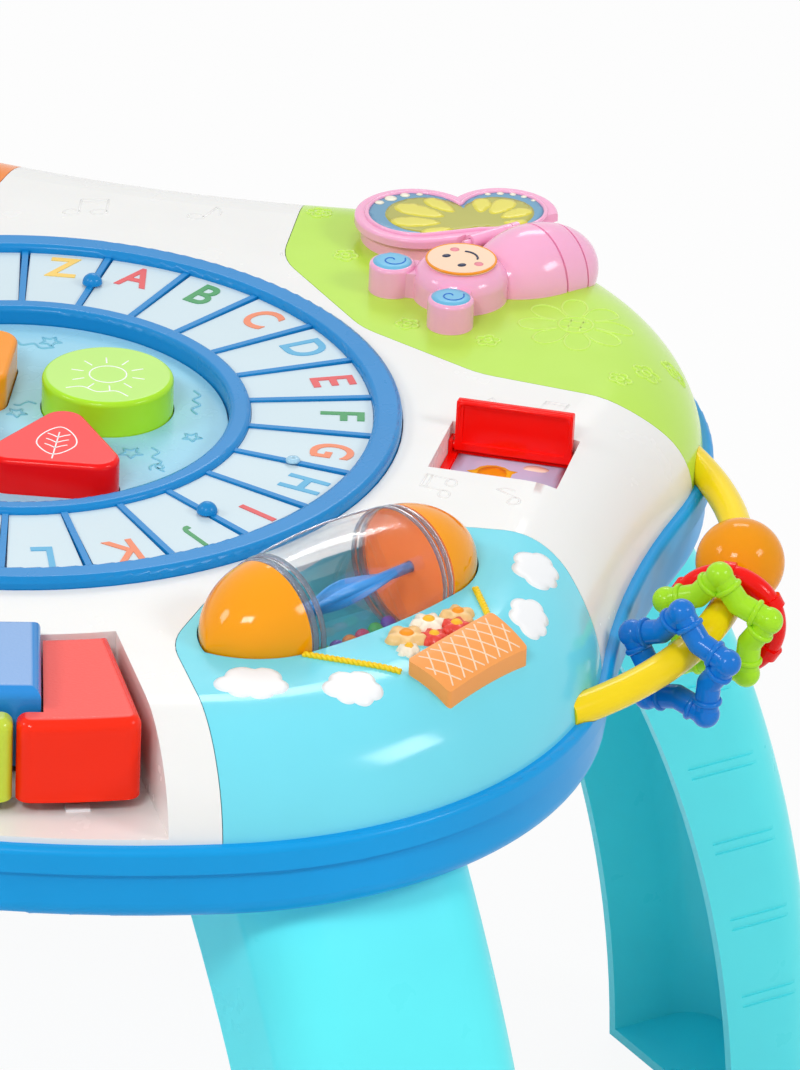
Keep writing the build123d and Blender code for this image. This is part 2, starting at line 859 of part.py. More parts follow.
def make_basket(outer):
    face = make_face(Polyline(
        (-basket_top / 2, 0), (basket_top / 2, 0), (basket_bottom / 2, -basket_length),
        (-basket_bottom / 2, -basket_length), close=True))
    block = slab(fillet(face.vertices(), basket_round), rim_z, deck_z + 2 * basket_rise)
    block = turned(Pos(0, basket_length / 2, 0) * block, basket_x, basket_y, basket_turn)
    block = (block & dome(-basket_rise)) - outer
    keep("basket_relief", block.solids().sort_by(SortBy.VOLUME)[-1])


# Butterfly


def bug_column(radius, rise, round_r, u, v):
    column = rod(radius, rim_z, deck_z + rise)
    column = fillet(column.faces().sort_by(Axis.Z)[-1].edges(), round_r)
    return Pos(u, v, 0) * column


def wing_face(inset):
    """Two wing lobes drawn in to the root beside the body."""
    circles = []
    for u, v, r in wing_lobes_shares:
        circles.append(Pos(u * wing_size, v * wing_size, 0) * Circle(r * wing_size - inset))
    root = circles[2]
    face = root
    for lobe in circles[:2]:
        face += make_hull((lobe + root).edges())
    return face


def make_butterfly(outer):
    body = bug_column(head_r, head_rise, head_round, 0, 0)
    for side in (-1, 1):
        body += bug_column(hand_r, hand_rise, hand_round, -hand_out, side * hand_side)
        reach = hand_out * sqrt(2)
        arm = upright_box(reach / 2, 0, reach, arm_width, deck_z, deck_z + hand_rise - hand_round)
        body += Rot(0, 0, 180 - side * 45) * arm
    ring = Ellipse(abdomen_half, abdomen_r)
    half = ring & Pos(0, abdomen_r, 0) * Rectangle(3 * abdomen_half, 2 * abdomen_r)
    egg = revolve(half, Axis.X)
    for share in groove_places_shares:
        x = share * abdomen_half
        edge_r = abdomen_r * sqrt(1 - share**2)
        cut = cross_rod(edge_r + overrun, abdomen_groove)
        cut -= cross_rod(edge_r - abdomen_groove, abdomen_groove)
        egg -= Pos(x, 0, 0) * cut
    body += Pos(abdomen_out, 0, deck_z) * egg
    body = bug_place(body) - outer
    keep("butterfly_body", body.solids().sort_by(SortBy.VOLUME)[-1])
    face_disc = Cylinder(face_r, face_t, align=(Align.CENTER, Align.CENTER, Align.MIN))
    keep("butterfly_face", bug_place(Pos(0, 0, deck_z + head_rise) * face_disc))
    wing_low = deck_z + wing_rise - wing_t
    hinge_z = deck_z + wing_rise - wing_t / 2
    hinge = Pos(wing_hinge_out, wing_hinge_side, hinge_z)
    base = slab(wing_face(wing_inset), rim_z, deck_z + wing_base_rise)
    base -= hinge * cross_rod(wing_barrel_r + 3 * run_gap, wing_barrel + 2 * run_gap)
    for side in (-1, 1):
        x = wing_hinge_out + side * ((wing_barrel + wing_lug) / 2 + run_gap)
        lug = upright_box(x, wing_hinge_side, wing_lug, 2 * wing_barrel_r, rim_z, hinge_z)
        base += lug + Pos(x, wing_hinge_side, hinge_z) * cross_rod(wing_barrel_r, wing_lug)
    base -= hinge * cross_rod(wing_pin_r + seat_gap / 2, wing_barrel + 3 * wing_lug)
    base = bug_place(base) - outer - body
    keep("wing_base", base.solids().sort_by(SortBy.VOLUME)[-1])
    pin_length = wing_barrel + 2 * wing_lug
    keep("wing_pin", bug_place(hinge * cross_rod(wing_pin_r, pin_length)))
    wing = slab(wing_face(0), wing_low, wing_low + wing_t)
    wing = fillet(wing.faces().sort_by(Axis.Z)[-1].edges(), wing_round)
    wing -= upright_box(
        wing_hinge_out, 0, 4 * wing_size, 2 * wing_hinge_side, wing_low, wing_low + 2 * wing_t)
    for side in (-1, 1):
        x = wing_hinge_out + side * ((wing_barrel + wing_lug) / 2 + run_gap)
        room = wing_lug + 2 * run_gap
        wing -= upright_box(
            x, wing_hinge_side, room, 2 * (wing_barrel_r + run_gap),
            wing_low - overrun, wing_low + 2 * wing_t)
    wing += hinge * cross_rod(wing_barrel_r, wing_barrel)
    wing -= hinge * cross_rod(wing_pin_r + run_gap / 2, wing_barrel + overrun)
    wing = bug_place(wing) - body
    keep("butterfly_wing", wing.solids().sort_by(SortBy.VOLUME)[-1])


# Bead handle


def tube_between(start, end, radius):
    """Straight round tube from one point to another."""
    run = end - start
    tube = Cylinder(radius, run.length, align=(Align.CENTER, Align.CENTER, Align.MIN))
    return Plane(origin=start, z_dir=run) * tube


def star_bead():
    """Star of round tube about the Y axis, one point up and a knob on each point."""
    spots = []
    for k in range(2 * star_points):
        spot = polar(star_corner_r if k % 2 else star_tip_r, 90 + 180 * k / star_points)
        spots.append(Vector(spot.X, 0, spot.Y))
    star = tube_between(spots[-1], spots[0], star_tube_r)
    for k in range(1, 2 * star_points):
        star += tube_between(spots[k - 1], spots[k], star_tube_r)
    for k, spot in enumerate(spots):
        star += Pos(*spot) * Sphere(star_tube_r if k % 2 else star_knob_r)
    return star


def make_handle():
    bar = bar_tube(bar_r, bar_end)
    bore = bar_tube(bar_r + bead_bore, bar_end)
    keep("handle_bar", bar)
    keep("ball_bead", bead_place(Sphere(ball_bead_r), ball_place, 0) - bore)
    ring = Rot(90, 0, 0) * Torus(ring_bead_r, ring_tube_r)
    for k in range(ring_collars):
        spot = Rot(0, 360 * (k + 0.5) / ring_collars, 0) * Pos(ring_bead_r, 0, 0)
        ring += spot * Cylinder(ring_collar_r, ring_collar)
    hang = ring_bead_r - ring_collar_r - bar_r - bead_bore
    keep("ring_bead", bead_place(ring, ring_place, hang))
    for name, place in (("green_star_bead", green_star_place), ("blue_star_bead", blue_star_place)):
        hang = star_corner_r - star_tube_r - bar_r - bead_bore
        keep(name, bead_place(star_bead(), place, hang))


# Legs


def leg_face(outer_in, inner_in, low, high):
    """Side view of a leg, radius against height, between its two curved faces."""
    mid = leg_height * leg_mid_share
    rows = ((leg_outer_top, leg_outer_mid, leg_outer_foot), (leg_inner_top, leg_inner_mid, leg_inner_foot))
    arcs = []
    for (top, middle, foot), move in zip(rows, (outer_in, inner_in)):
        arcs.append(ThreePointArc((top - move, leg_height), (middle - move, mid), (foot - move, 0)))
    outer, inner = arcs
    face = make_face([outer, Line(outer @ 1, inner @ 1), inner, Line(inner @ 0, outer @ 0)])
    reach = 2 * leg_outer_foot
    band = Pos(0, (low + high) / 2, 0) * Rectangle(reach, high - low)
    return face & band


def leg_block(outer_in, inner_in, width, low, high):
    """Leg solid of a width, its two outer long edges rounded."""
    block = extrude(Plane.XZ * leg_face(outer_in, inner_in, low, high), width / 2, both=True)
    outer = [f for f in block.faces() if f.geom_type != GeomType.PLANE]
    outer = max(outer, key=lambda f: f.center().X)
    edges = [e for e in outer.edges() if e.geom_type == GeomType.CIRCLE]
    return fillet(edges, leg_corner_r - outer_in)


def make_legs():
    block = leg_block(0, 0, leg_width, 0, leg_height)
    width = leg_width - 2 * leg_wall
    leg = block - leg_block(leg_wall, 2 * leg_width, width, leg_sole_t, leg_height - leg_top_t)
    for share in leg_grooves_shares:
        for step in (-1, 1):
            z = share * leg_height + step * leg_groove_pitch / 2
            strip = leg_face(leg_border, -leg_border, z - leg_groove / 2, z + leg_groove / 2)
            groove = extrude(Plane.XZ * strip, leg_groove / 2, both=True)
            for side in (-1, 1):
                leg -= Pos(0, side * leg_width / 2, 0) * groove
    for side in (-1, 1):
        hole = rod(screw_r + seat_gap, leg_height - leg_top_t - overrun, leg_height + overrun)
        leg -= Pos(leg_screw_out, side * leg_screw_side, 0) * hole
    for k, name in enumerate(("back_right_leg", "back_left_leg", "front_left_leg", "front_right_leg")):
        keep(name, Rot(0, 0, 45 + 90 * k) * leg)


# Gears


def gear_face(teeth):
    """Plain straight-sided gear outline."""
    pitch_r = gear_module * teeth / 2
    tip_r = pitch_r + gear_module * addendum_share
    root_r = pitch_r - gear_module * dedendum_share
    step = 360 / teeth
    face = Circle(root_r)
    for k in range(teeth):
        root_half = step * tooth_root_share / 2
        tip_half = step * tooth_tip_share / 2
        inner_r = root_r - gear_module
        points = [
            polar(inner_r, step * k - root_half), polar(root_r, step * k - root_half),
            polar(tip_r, step * k - tip_half), polar(tip_r, step * k + tip_half),
            polar(root_r, step * k + root_half), polar(inner_r, step * k + root_half)]
        face += make_face(Polyline(*points, close=True))
    return face


def gear_places():
    """Plan places of the three gears and the turn that meshes each."""
    places = [(gear_x, gear_y, 0.0)]
    for k, angle in enumerate(gear_turns):
        x, y, turn = places[k]
        gap = gear_module * (gear_teeth[k] + gear_teeth[k + 1]) / 2 + gear_centre_gap
        step = 360 / gear_teeth[k + 1]
        offset_turn = (angle - turn) * gear_teeth[k] / gear_teeth[k + 1]
        mesh = angle + 180 + offset_turn + step / 2
        spot = polar(gap, angle)
        places.append((x + spot.X, y + spot.Y, mesh % step))
    return places


def make_gears(panel):
    low = deck_z + gear_rise
    high = low + gear_t
    names = ("large_gear", "middle_gear", "small_gear")
    for name, teeth, (x, y, turn) in zip(names, gear_teeth, gear_places()):
        gear = slab(gear_face(teeth), low, high)
        gear -= rod(gear_bore_r + run_gap / 2, low - overrun, high + overrun)
        keep(name, turned(gear, x, y, turn))
        post = rod(gear_bore_r, deck_z - panel_t, high + run_gap)
        post += rod(gear_cap_r, deck_z - panel_t, low - run_gap)
        post += rod(gear_cap_r, high + run_gap, high + run_gap + gear_cap_t)
        panel += Pos(x, y, 0) * post
    return panel


# Steering wheel

wheel_low = deck_z + wheel_rise - wheel_hub_t / 2


def make_wheel(panel):
    ring = Pos(0, 0, deck_z + wheel_rise) * Torus(wheel_r, wheel_tube_r)
    hub = rod(wheel_hub_r, wheel_low, wheel_low + wheel_hub_t)
    for k in range(3):
        spoke = Box(wheel_r, wheel_spoke, wheel_spoke_t, align=(Align.MIN, Align.CENTER, Align.CENTER))
        hub += Rot(0, 0, 90 + 120 * k) * Pos(0, 0, deck_z + wheel_rise) * spoke
    wheel = ring + hub
    floor = wheel_low + wheel_hub_t / 2
    wheel -= rod(wheel_post_r + run_gap / 2, wheel_low - overrun, floor - horn_floor + run_gap)
    wheel -= rod(horn_r + run_gap, floor, wheel_low + wheel_hub_t + overrun)
    keep("steering_wheel", Pos(wheel_x, wheel_y, 0) * wheel)
    horn_low = floor + horn_travel + run_gap
    horn = rod(horn_r, horn_low, wheel_low + wheel_hub_t + horn_rise)
    horn = fillet(horn.faces().sort_by(Axis.Z)[-1].edges(), horn_round)
    keep("horn_button", Pos(wheel_x, wheel_y, 0) * horn)
    post = rod(wheel_post_r, deck_z - panel_t, floor - horn_floor)
    post += rod(wheel_hub_r, deck_z - panel_t, wheel_low - run_gap)
    return panel + Pos(wheel_x, wheel_y, 0) * post


# Works in the tray


def make_works():
    board_low = floor_z + board_lift
    board = upright_box(board_x, board_y, board_length, board_width, board_low, board_low + board_t)
    board += upright_box(board_x, board_y, chip_side, chip_side, board_low, board_low + board_t + chip_t)
    keep("main_board", board)
    spot = Pos(0, speaker_y, 0)
    basket = rod(speaker_r, floor_z, floor_z + speaker_flange)
    basket += rod(magnet_r, floor_z, floor_z + speaker_height)
    basket -= rod(speaker_r - speaker_flange, floor_z - overrun, floor_z + cone_t + cone_gap)
    keep("speaker", spot * basket)
    cone_low = floor_z + cone_gap
    cone = rod(speaker_r - speaker_flange - seat_gap, cone_low, cone_low + cone_t - seat_gap)
    keep("speaker_cone", spot * cone)
    cell_z = bay_low + cell_gap + cell_r
    cells = []
    contacts = []
    for k in (-1, 0, 1):
        y = bay_y + k * (2 * cell_r + cell_gap)
        cell = cross_rod(cell_r, cell_length)
        cell += Pos((cell_length + cell_nub) / 2, 0, 0) * cross_rod(cell_nub_r, cell_nub)
        cells.append(Pos(0, y, cell_z) * Rot(0, 0, 180 * (k % 2)) * Pos(-cell_nub / 2, 0, 0) * cell)
        for side in (-1, 1):
            x = side * (bay_length - contact_t) / 2
            contacts.append(upright_box(x, y, contact_t, contact_width, bay_low, bay_high))
    keep("battery_cells", cells)
    keep("battery_contacts", contacts)
    lip = 2 * cover_lip
    cover = upright_box(0, bay_y, bay_length + lip, bay_width + lip, leg_height, leg_height + cover_t)
    keep("battery_cover", cover)
    knob_low = leg_height - switch_drop
    knob = upright_box(switch_x, switch_y, switch_length, switch_width, knob_low, floor_z + run_gap)
    knob += upright_box(
        switch_x, switch_y, switch_length + 4 * switch_travel, 3 * switch_width,
        floor_z + run_gap, floor_z + run_gap + switch_head_t)
    keep("power_switch", knob)
    screws = []
    for place in screw_places():
        screw = rod(screw_r, leg_height, leg_height + screw_length - run_gap)
        screw += rod(screw_head_r, leg_height, leg_height + screw_head_t)
        screws.append(Pos(place.X, place.Y, 0) * screw)
    leg_low = leg_height - leg_top_t
    for place in leg_screw_places():
        screw = rod(screw_r, leg_low, leg_height + screw_length - run_gap)
        screw += rod(screw_head_r, leg_low - screw_head_t, leg_low)
        screws.append(Pos(place.X, place.Y, 0) * screw)
    keep("screws", screws)


def make_panels(outer, middle):
    """Four corner skins that lie in the rebates of the white shell."""
    skin = (outer - middle) & above(rim_z)
    table = {
        "green_panel": (back_panel_shares, 1), "orange_panel": (back_panel_shares, -1),
        "blue_panel": (front_panel_shares, 1), "yellow_panel": (front_panel_shares, -1)}
    panels = {}
    for name, (shares, side) in table.items():
        panels[name] = region(shares, side, panel_seam) & skin
    panels["blue_panel"] -= ship_place(slab(ship_plan(ship_gap), pit_z, deck_z + overrun))
    panels["orange_panel"] = make_gears(panels["orange_panel"])
    panels["yellow_panel"] = make_wheel(panels["yellow_panel"])
    for name, panel in panels.items():
        keep(name, panel - bar_tube(bar_r + seat_gap, bar_end))


def make_table():
    outer = dome(0)
    middle = dome(panel_t)
    inner = dome(shell_wall)
    spaces = []
    for shares in (back_panel_shares, front_panel_shares):
        for side in (1, -1):
            spaces.append(region(shares, side, 0))
    keep("base_tray", make_tray())
    keep("top_shell", make_top_shell(outer & above(rim_z), middle, inner, spaces))
    make_panels(outer, middle)
    make_dial()
    make_centre()
    make_keys()
    make_door()
    make_ship()
    make_basket(outer)
    make_butterfly(outer)
    make_handle()
    make_legs()
    make_works()


def write_parts():
    os.makedirs("parts", exist_ok=True)
    for name, shape in parts.items():
        pieces = shape if isinstance(shape, list) else [shape]
        solids = [Pos(shift_x, 0, 0) * solid for piece in pieces for solid in piece.solids()]
        export_step(Compound(children=solids) if len(solids) > 1 else solids[0], f"parts/{name}.step")


make_table()
write_parts()
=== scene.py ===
import json
import math
import bpy
from mathutils import Matrix, Vector, geometry
from mathutils.bvhtree import BVHTree


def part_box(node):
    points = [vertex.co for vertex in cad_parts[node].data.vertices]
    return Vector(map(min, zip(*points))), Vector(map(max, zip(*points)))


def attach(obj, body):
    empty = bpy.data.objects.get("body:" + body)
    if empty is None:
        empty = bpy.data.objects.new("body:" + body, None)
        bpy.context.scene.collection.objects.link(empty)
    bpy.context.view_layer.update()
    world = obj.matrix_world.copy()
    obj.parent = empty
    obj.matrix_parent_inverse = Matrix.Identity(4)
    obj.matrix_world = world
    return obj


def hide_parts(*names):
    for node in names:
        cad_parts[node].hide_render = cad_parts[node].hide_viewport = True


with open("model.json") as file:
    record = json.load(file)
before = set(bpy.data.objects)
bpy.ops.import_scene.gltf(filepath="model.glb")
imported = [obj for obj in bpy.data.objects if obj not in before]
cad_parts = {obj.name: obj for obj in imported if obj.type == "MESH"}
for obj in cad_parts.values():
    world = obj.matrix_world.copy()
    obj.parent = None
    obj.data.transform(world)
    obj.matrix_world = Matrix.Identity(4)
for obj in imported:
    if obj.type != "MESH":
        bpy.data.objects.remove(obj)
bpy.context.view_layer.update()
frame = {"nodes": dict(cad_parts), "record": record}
nodes = frame["nodes"]
scene = bpy.context.scene

# Lengths here are millimetres in the table's plan, with the dial's axis at X = Y = 0, as in the CAD source.
MM = 0.001
joint_rows = {row["name"]: row for row in frame["record"]["behaviour"]["joints"]}
SHIFT_X = joint_rows["dial_turn"]["pos_m"][0] / MM
DECK = 353.0
ABOVE_ALL = 480.0
UP = Vector((0, 0, 1))
DOWN = Vector((0, 0, -1))
SHIP_X, SHIP_Y, SHIP_Z = 142.0, -103.0, 354.0
SHIP_TURN = math.radians(57.0)


def at(x, y, z):
    """Point of the table's plan as a point of the shared frame, in metres."""
    return Vector(((x + SHIFT_X) * MM, y * MM, z * MM))


# Materials

WHITE = (1, 1, 1, 1)
DRIFT_SCALE, GLOSS_SCALE, GRAIN_SCALE = 14.0, 60.0, 900.0
GRAIN_DEEP = 0.0004
FACES_UP = (0.93, 0.99)
MATTE_ROUGH = 0.5


def linear(code):
    """Linear colour of a hex code."""
    values = [int(code[k:k + 2], 16) / 255 for k in (0, 2, 4)]
    return tuple(v / 12.92 if v <= 0.04045 else ((v + 0.055) / 1.055) ** 2.4 for v in values)


def shade(colour, factor):
    """Colour made lighter or darker, with full alpha."""
    return tuple(min(1.0, c * factor) for c in colour) + (1.0,)


def link(tree, a, b):
    tree.links.new(a, b)


def set_inputs(node, values):
    """Constants on a node's own sockets."""
    for socket, value in values.items():
        node.inputs[socket].default_value = value


def noise(tree, scale, detail=3.0):
    """Output of a noise on object coordinates, in metres."""
    place = tree.nodes.get("place") or tree.nodes.new("ShaderNodeTexCoord")
    place.name = "place"
    node = tree.nodes.new("ShaderNodeTexNoise")
    set_inputs(node, {"Scale": scale, "Detail": detail})
    link(tree, place.outputs["Object"], node.inputs["Vector"])
    return node.outputs["Fac"]


def remap(tree, source, low, high, start=0.3, end=0.7):
    """Output that runs from low to high as the source runs from start to end."""
    node = tree.nodes.new("ShaderNodeMapRange")
    set_inputs(node, {"From Min": start, "From Max": end, "To Min": low, "To Max": high})
    link(tree, source, node.inputs["Value"])
    return node.outputs["Result"]


def mixed(tree, kind, factor, a, b):
    """Output of a mix of two values, each a socket or a constant."""
    node = tree.nodes.new("ShaderNodeMix")
    node.data_type = kind
    link(tree, factor, node.inputs["Factor"])
    for key, value in (("A", a), ("B", b)):
        if isinstance(value, bpy.types.NodeSocket):
            link(tree, value, node.inputs[key])
        else:
            node.inputs[key].default_value = value
    return node.outputs["Result"]


def plastic(name, code, rough=0.2, vary=0.035, grain=0.04, coat=0.1, glow=0.0, textured=0.0, spec=0.3,
            matte=0.45):
    """Moulded plastic: slow tone drift, uneven gloss, fine grain, and on request a matte top, paler by a share of
    painted sheen.
    """
    material = bpy.data.materials.new(name)
    material.use_nodes = True
    tree = material.node_tree
    shader = tree.nodes["Principled BSDF"]
    colour = linear(code)
    drift = remap(tree, noise(tree, DRIFT_SCALE), 0, 1)
    tone = mixed(tree, "RGBA", drift, shade(colour, 1 - vary), shade(colour, 1 + vary))
    gloss = remap(tree, noise(tree, GLOSS_SCALE), rough - 0.03, rough + 0.04)
    bump = tree.nodes.new("ShaderNodeBump")
    set_inputs(bump, {"Strength": grain, "Distance": GRAIN_DEEP})
    link(tree, noise(tree, GRAIN_SCALE, 2.0), bump.inputs["Height"])
    if textured:
        geo = tree.nodes.new("ShaderNodeNewGeometry")
        split = tree.nodes.new("ShaderNodeSeparateXYZ")
        link(tree, geo.outputs["Normal"], split.inputs["Vector"])
        top = remap(tree, split.outputs["Z"], 0, 1, *FACES_UP)
        gloss = mixed(tree, "FLOAT", top, gloss, MATTE_ROUGH)
        # Painted sheen: upward faces are mixed towards white by the given share
        tone = mixed(tree, "RGBA", remap(tree, top, 0, textured, 0, 1), tone, WHITE)
        link(tree, remap(tree, top, grain, matte, 0, 1), bump.inputs["Strength"])
    link(tree, tone, shader.inputs["Base Color"])
    link(tree, gloss, shader.inputs["Roughness"])
    link(tree, bump.outputs["Normal"], shader.inputs["Normal"])
    set_inputs(shader, {"Coat Weight": coat, "Coat Roughness": 0.06, "IOR": 1.48, "Specular IOR Level": spec})
    if glow:
        set_inputs(shader, {"Subsurface Weight": glow, "Subsurface Radius": (0.004, 0.003, 0.002)})
    return material


def clear(name, code, rough=0.03, weight=1.0, opaque=1.0, spec=0.3):
    """Clear or tinted see-through plastic."""
    material = plastic(name, code, rough=rough + 0.03, vary=0.02, grain=0.01, coat=0.3, spec=spec)
    set_inputs(material.node_tree.nodes["Principled BSDF"],
               {"Transmission Weight": weight, "Alpha": opaque, "IOR": 1.2})
    return material


def metal(name, code):
    """Bare metal."""
    material = plastic(name, code, rough=0.3, vary=0.05, grain=0.08, coat=0.0)
    set_inputs(material.node_tree.nodes["Principled BSDF"], {"Metallic": 1.0})
    return material


looks = {}


def keep(name, code, make=plastic, **more):
    """Keep a material under its name."""
    looks[name] = make(name, code, **more)


keep("shell_white", "F1F1EF", rough=0.24, vary=0.012, glow=0.05)
keep("tray_blue", "0C9EE4", rough=0.34, spec=0.15)
keep("leg_teal", "66F6FE", rough=0.3, spec=0.15)
keep("panel_green", "C0EC50", glow=0.05)
keep("panel_turquoise", "74DEF0", rough=0.16, glow=0.05)
keep("panel_orange", "FA8A1E")
keep("panel_yellow", "FCD02A")
keep("dial_blue", "1088CE", rough=0.28, spec=0.2)
keep("tile_pale", "CFE2EA", rough=0.34, vary=0.02)
keep("centre_turquoise", "9AD6EE", rough=0.26)
keep("lime", "AEEA26", rough=0.18, glow=0.08, spec=0.2)
keep("red", "FC1008", rough=0.18, spec=0.15)
keep("orange", "FF9E28", glow=0.05, spec=0.15)
keep("purple", "8A4FC0")
keep("yellow", "FFDC16", glow=0.05, spec=0.15)
# Materials given a top share below have upward faces made paler by painted sheen
keep("yellow_green", "C6DA3C", rough=0.22, textured=0.15)
keep("turquoise", "35C2D2", rough=0.22, textured=0.2)
keep("blue", "0F76D2", spec=0.2)
keep("cap_amber", "FFA204", rough=0.1, glow=0.05, coat=0.3, spec=0.12)
keep("pink", "FBB2D6", rough=0.16, glow=0.1, coat=0.25)
keep("peach", "FBD9BA", rough=0.4, coat=0.05)
keep("board_green", "1F6B35", rough=0.5, coat=0.0)
keep("black", "222326", rough=0.5, coat=0.0)
keep("rubber_grey", "83868B", rough=0.75, coat=0.0, grain=0.2)
keep("balls_mixed", "8A4FC0", rough=0.22)
keep("red_textured", "FC2A08", textured=0.11, spec=0.15)
keep("yellow_textured", "FCD21E", textured=0.2)
keep("orange_textured", "FB8E22", textured=0.2)
keep("blue_textured", "2A8EDC", textured=0.26, spec=0.2)
keep("lime_button", "B2EE2C", rough=0.18, glow=0.08, textured=0.2, spec=0.2, matte=0.06)
keep("red_button", "FC1212", rough=0.18, textured=0.09, spec=0.15, matte=0.06)
keep("vane_blue", "3C9CEA", rough=0.3)
keep("bump_blue", "A6D2EA", rough=0.15)
# Raised lines of the green panel, made paler than it as a painted highlight
keep("emboss_green_painted_highlight", "CEF468", rough=0.25, glow=0.05)
# Raised lines of the centre panel, made darker than it as painted shade
keep("emboss_teal_painted_shade", "78C2DC", rough=0.3)
keep("basket_orange", "F9A458", rough=0.4, coat=0.05, spec=0.2)
# Painted glow: the caps' inner ends are lit by an emission set below
keep("cap_inside_painted_glow", "FF8C50", rough=0.4, glow=0.3, coat=0.0, spec=0.1)
keep("print_white", "FFFFFF", rough=0.4, vary=0.01, coat=0.05)
keep("cloud_white", "F6F8FA", rough=0.35, vary=0.02)
keep("rope_yellow", "F9D51E", rough=0.4, grain=0.2)
keep("wing_field", "5E9ABE", rough=0.3, vary=0.08, coat=0.2)
keep("wing_glow", "B4B244", rough=0.3, vary=0.1, coat=0.2)
keep("wing_cell", "E6DC4E", rough=0.3, vary=0.06, coat=0.2)
keep("wing_dot", "F3F0DC", rough=0.3, coat=0.2)
keep("card_lavender", "CBC8EA", rough=0.45, vary=0.05, coat=0.05)
keep("cell_grey", "9A9CA0", metal)
keep("steel", "C0C2C6", metal)
keep("drum_clear", "F4F8FC", clear, opaque=0.13)
keep("bead_amber", "FFA406", clear, rough=0.1, weight=0.15, spec=0.12)
keep("ring_grey", "AAB0BE", clear, rough=0.12, weight=0.7, opaque=0.8)
for name, code in (("card_peach", "FBE0CC"), ("sun_orange", "F79A16"), ("sun_yellow", "FCC02A"),
                   ("ink", "2A3350"), ("cheek", "F08E9E")):
    keep(name, code, rough=0.45, coat=0.05)
for name, code in (("swirl_blue", "6FBFE6"), ("basket_pale", "FBDCBC"), ("petal_tan", "F2C987"),
                   ("petal_red", "E8493C"), ("petal_cream", "FBF1DC")):
    keep(name, code, rough=0.35)
for key, code in (("red", "E2575A"), ("green", "3F9A5C"), ("orange", "F08A63"), ("blue", "5BB2DC"),
                  ("yellow", "F6CE62")):
    keep("letter_" + key, code, rough=0.4)
for key, code in (("purple", "7B3FB4"), ("green", "4FB043"), ("magenta", "C92A62"), ("orange", "F08A1E")):
    keep("ball_" + key, code, rough=0.15)
# Painted glow: the amber caps' inner ends give off light, standing in for daylight through the caps
set_inputs(looks["cap_inside_painted_glow"].node_tree.nodes["Principled BSDF"],
           {"Emission Color": linear("FF7838") + (1.0,), "Emission Strength": 0.3})

slots = {row["node"]: row["material_slot"] for row in frame["record"]["subparts"]}
own_look = {
    "wide_key_2": "orange_textured", "wide_key_3": "yellow_textured", "wide_key_5": "red_textured",
    **{f"raised_key_{k}": "blue_textured" for k in (1, 2, 3)},
    "key_pads": "cloud_white", "round_button": "lime_button", "triangle_button": "red_button",
    "basket_relief": "basket_orange", "wing_pin": "pink",
}
for name, obj in nodes.items():
    obj.data.materials.clear()
    obj.data.materials.append(looks[own_look.get(name, slots[name])])

PIT_HALF_LONG, PIT_HALF_WIDE = 61.0, 25.6
PIT_FLOOR, PIT_RIM = DECK - 27.0, DECK - 2.2
CAP_END = 32.7


def paint(name, look, picks):
    """Give the faces of a CAD node that a test picks a second material."""
    mesh = nodes[name].data
    mesh.materials.append(looks[look])
    for face in mesh.polygons:
        if picks(face.center):
            face.material_index = 1


def from_ship(spot):
    """How far a point lies along the airship from its middle, and across it."""
    x, y = spot.x / MM - SHIFT_X - SHIP_X, spot.y / MM - SHIP_Y
    c, s = math.cos(SHIP_TURN), math.sin(SHIP_TURN)
    return x * c + y * s, y * c - x * s


def in_ship_pit(spot):
    """Whether a point lies in the hollow that the airship sits in."""
    along, out = from_ship(spot)
    return abs(along) < PIT_HALF_LONG and abs(out) < PIT_HALF_WIDE and PIT_FLOOR < spot.z / MM < PIT_RIM


def faces_the_drum(spot):
    """Whether a point of a cap lies on its flat end beside the drum."""
    return abs(from_ship(spot)[0]) < CAP_END


paint("top_shell", "panel_turquoise", in_ship_pit)
# The caps' flat ends beside the drum take the painted-glow material
for name in ("airship_front_cap", "airship_rear_cap"):
    paint(name, "cap_inside_painted_glow", faces_the_drum)


# Mesh tools

# Rounded end of a rib: how far each ring stands out and how wide it is, as shares of the radius
RIB_END = ((0.95, 0.3), (0.7, 0.72))


def surface(*names):
    """Ray-casting tree over CAD nodes."""
    verts, faces = [], []
    for name in names:
        mesh = nodes[name].data
        base = len(verts)
        verts += [v.co.copy() for v in mesh.vertices]
        faces += [[base + k for k in p.vertices] for p in mesh.polygons]
    return BVHTree.FromPolygons(verts, faces)


def drape(tree, x, y, lift):
    """Point on a surface below a place in plan, raised along the surface's normal."""
    hit, normal, _, _ = tree.ray_cast(at(x, y, ABOVE_ALL), DOWN)
    if hit is None:
        raise ValueError(f"nothing lies under {x:.1f}, {y:.1f}")
    return hit + normal * lift * MM


def add(name, verts, faces, look, body, smooth=True):
    """New mesh piece that rides on a body."""
    mesh = bpy.data.meshes.new(name)
    mesh.from_pydata([tuple(v) for v in verts], [], faces)
    mesh.validate()
    mesh.polygons.foreach_set("use_smooth", [smooth] * len(mesh.polygons))
    mesh.materials.append(looks[look])
    obj = bpy.data.objects.new(name, mesh)
    scene.collection.objects.link(obj)
    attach(obj, body)
    return obj


def skin(base, rings, sides, closed, faces):
    """Add the faces round a row of rings: closed, or open with its ends capped."""
    for k in range(rings if closed else rings - 1):
        n = (k + 1) % rings
        for j in range(sides):
            m = (j + 1) % sides
            faces.append([base + i * sides + p for i, p in ((k, j), (k, m), (n, m), (n, j))])
    if not closed:
        faces.append([base + j for j in range(sides)][::-1])
        faces.append([base + (rings - 1) * sides + j for j in range(sides)])


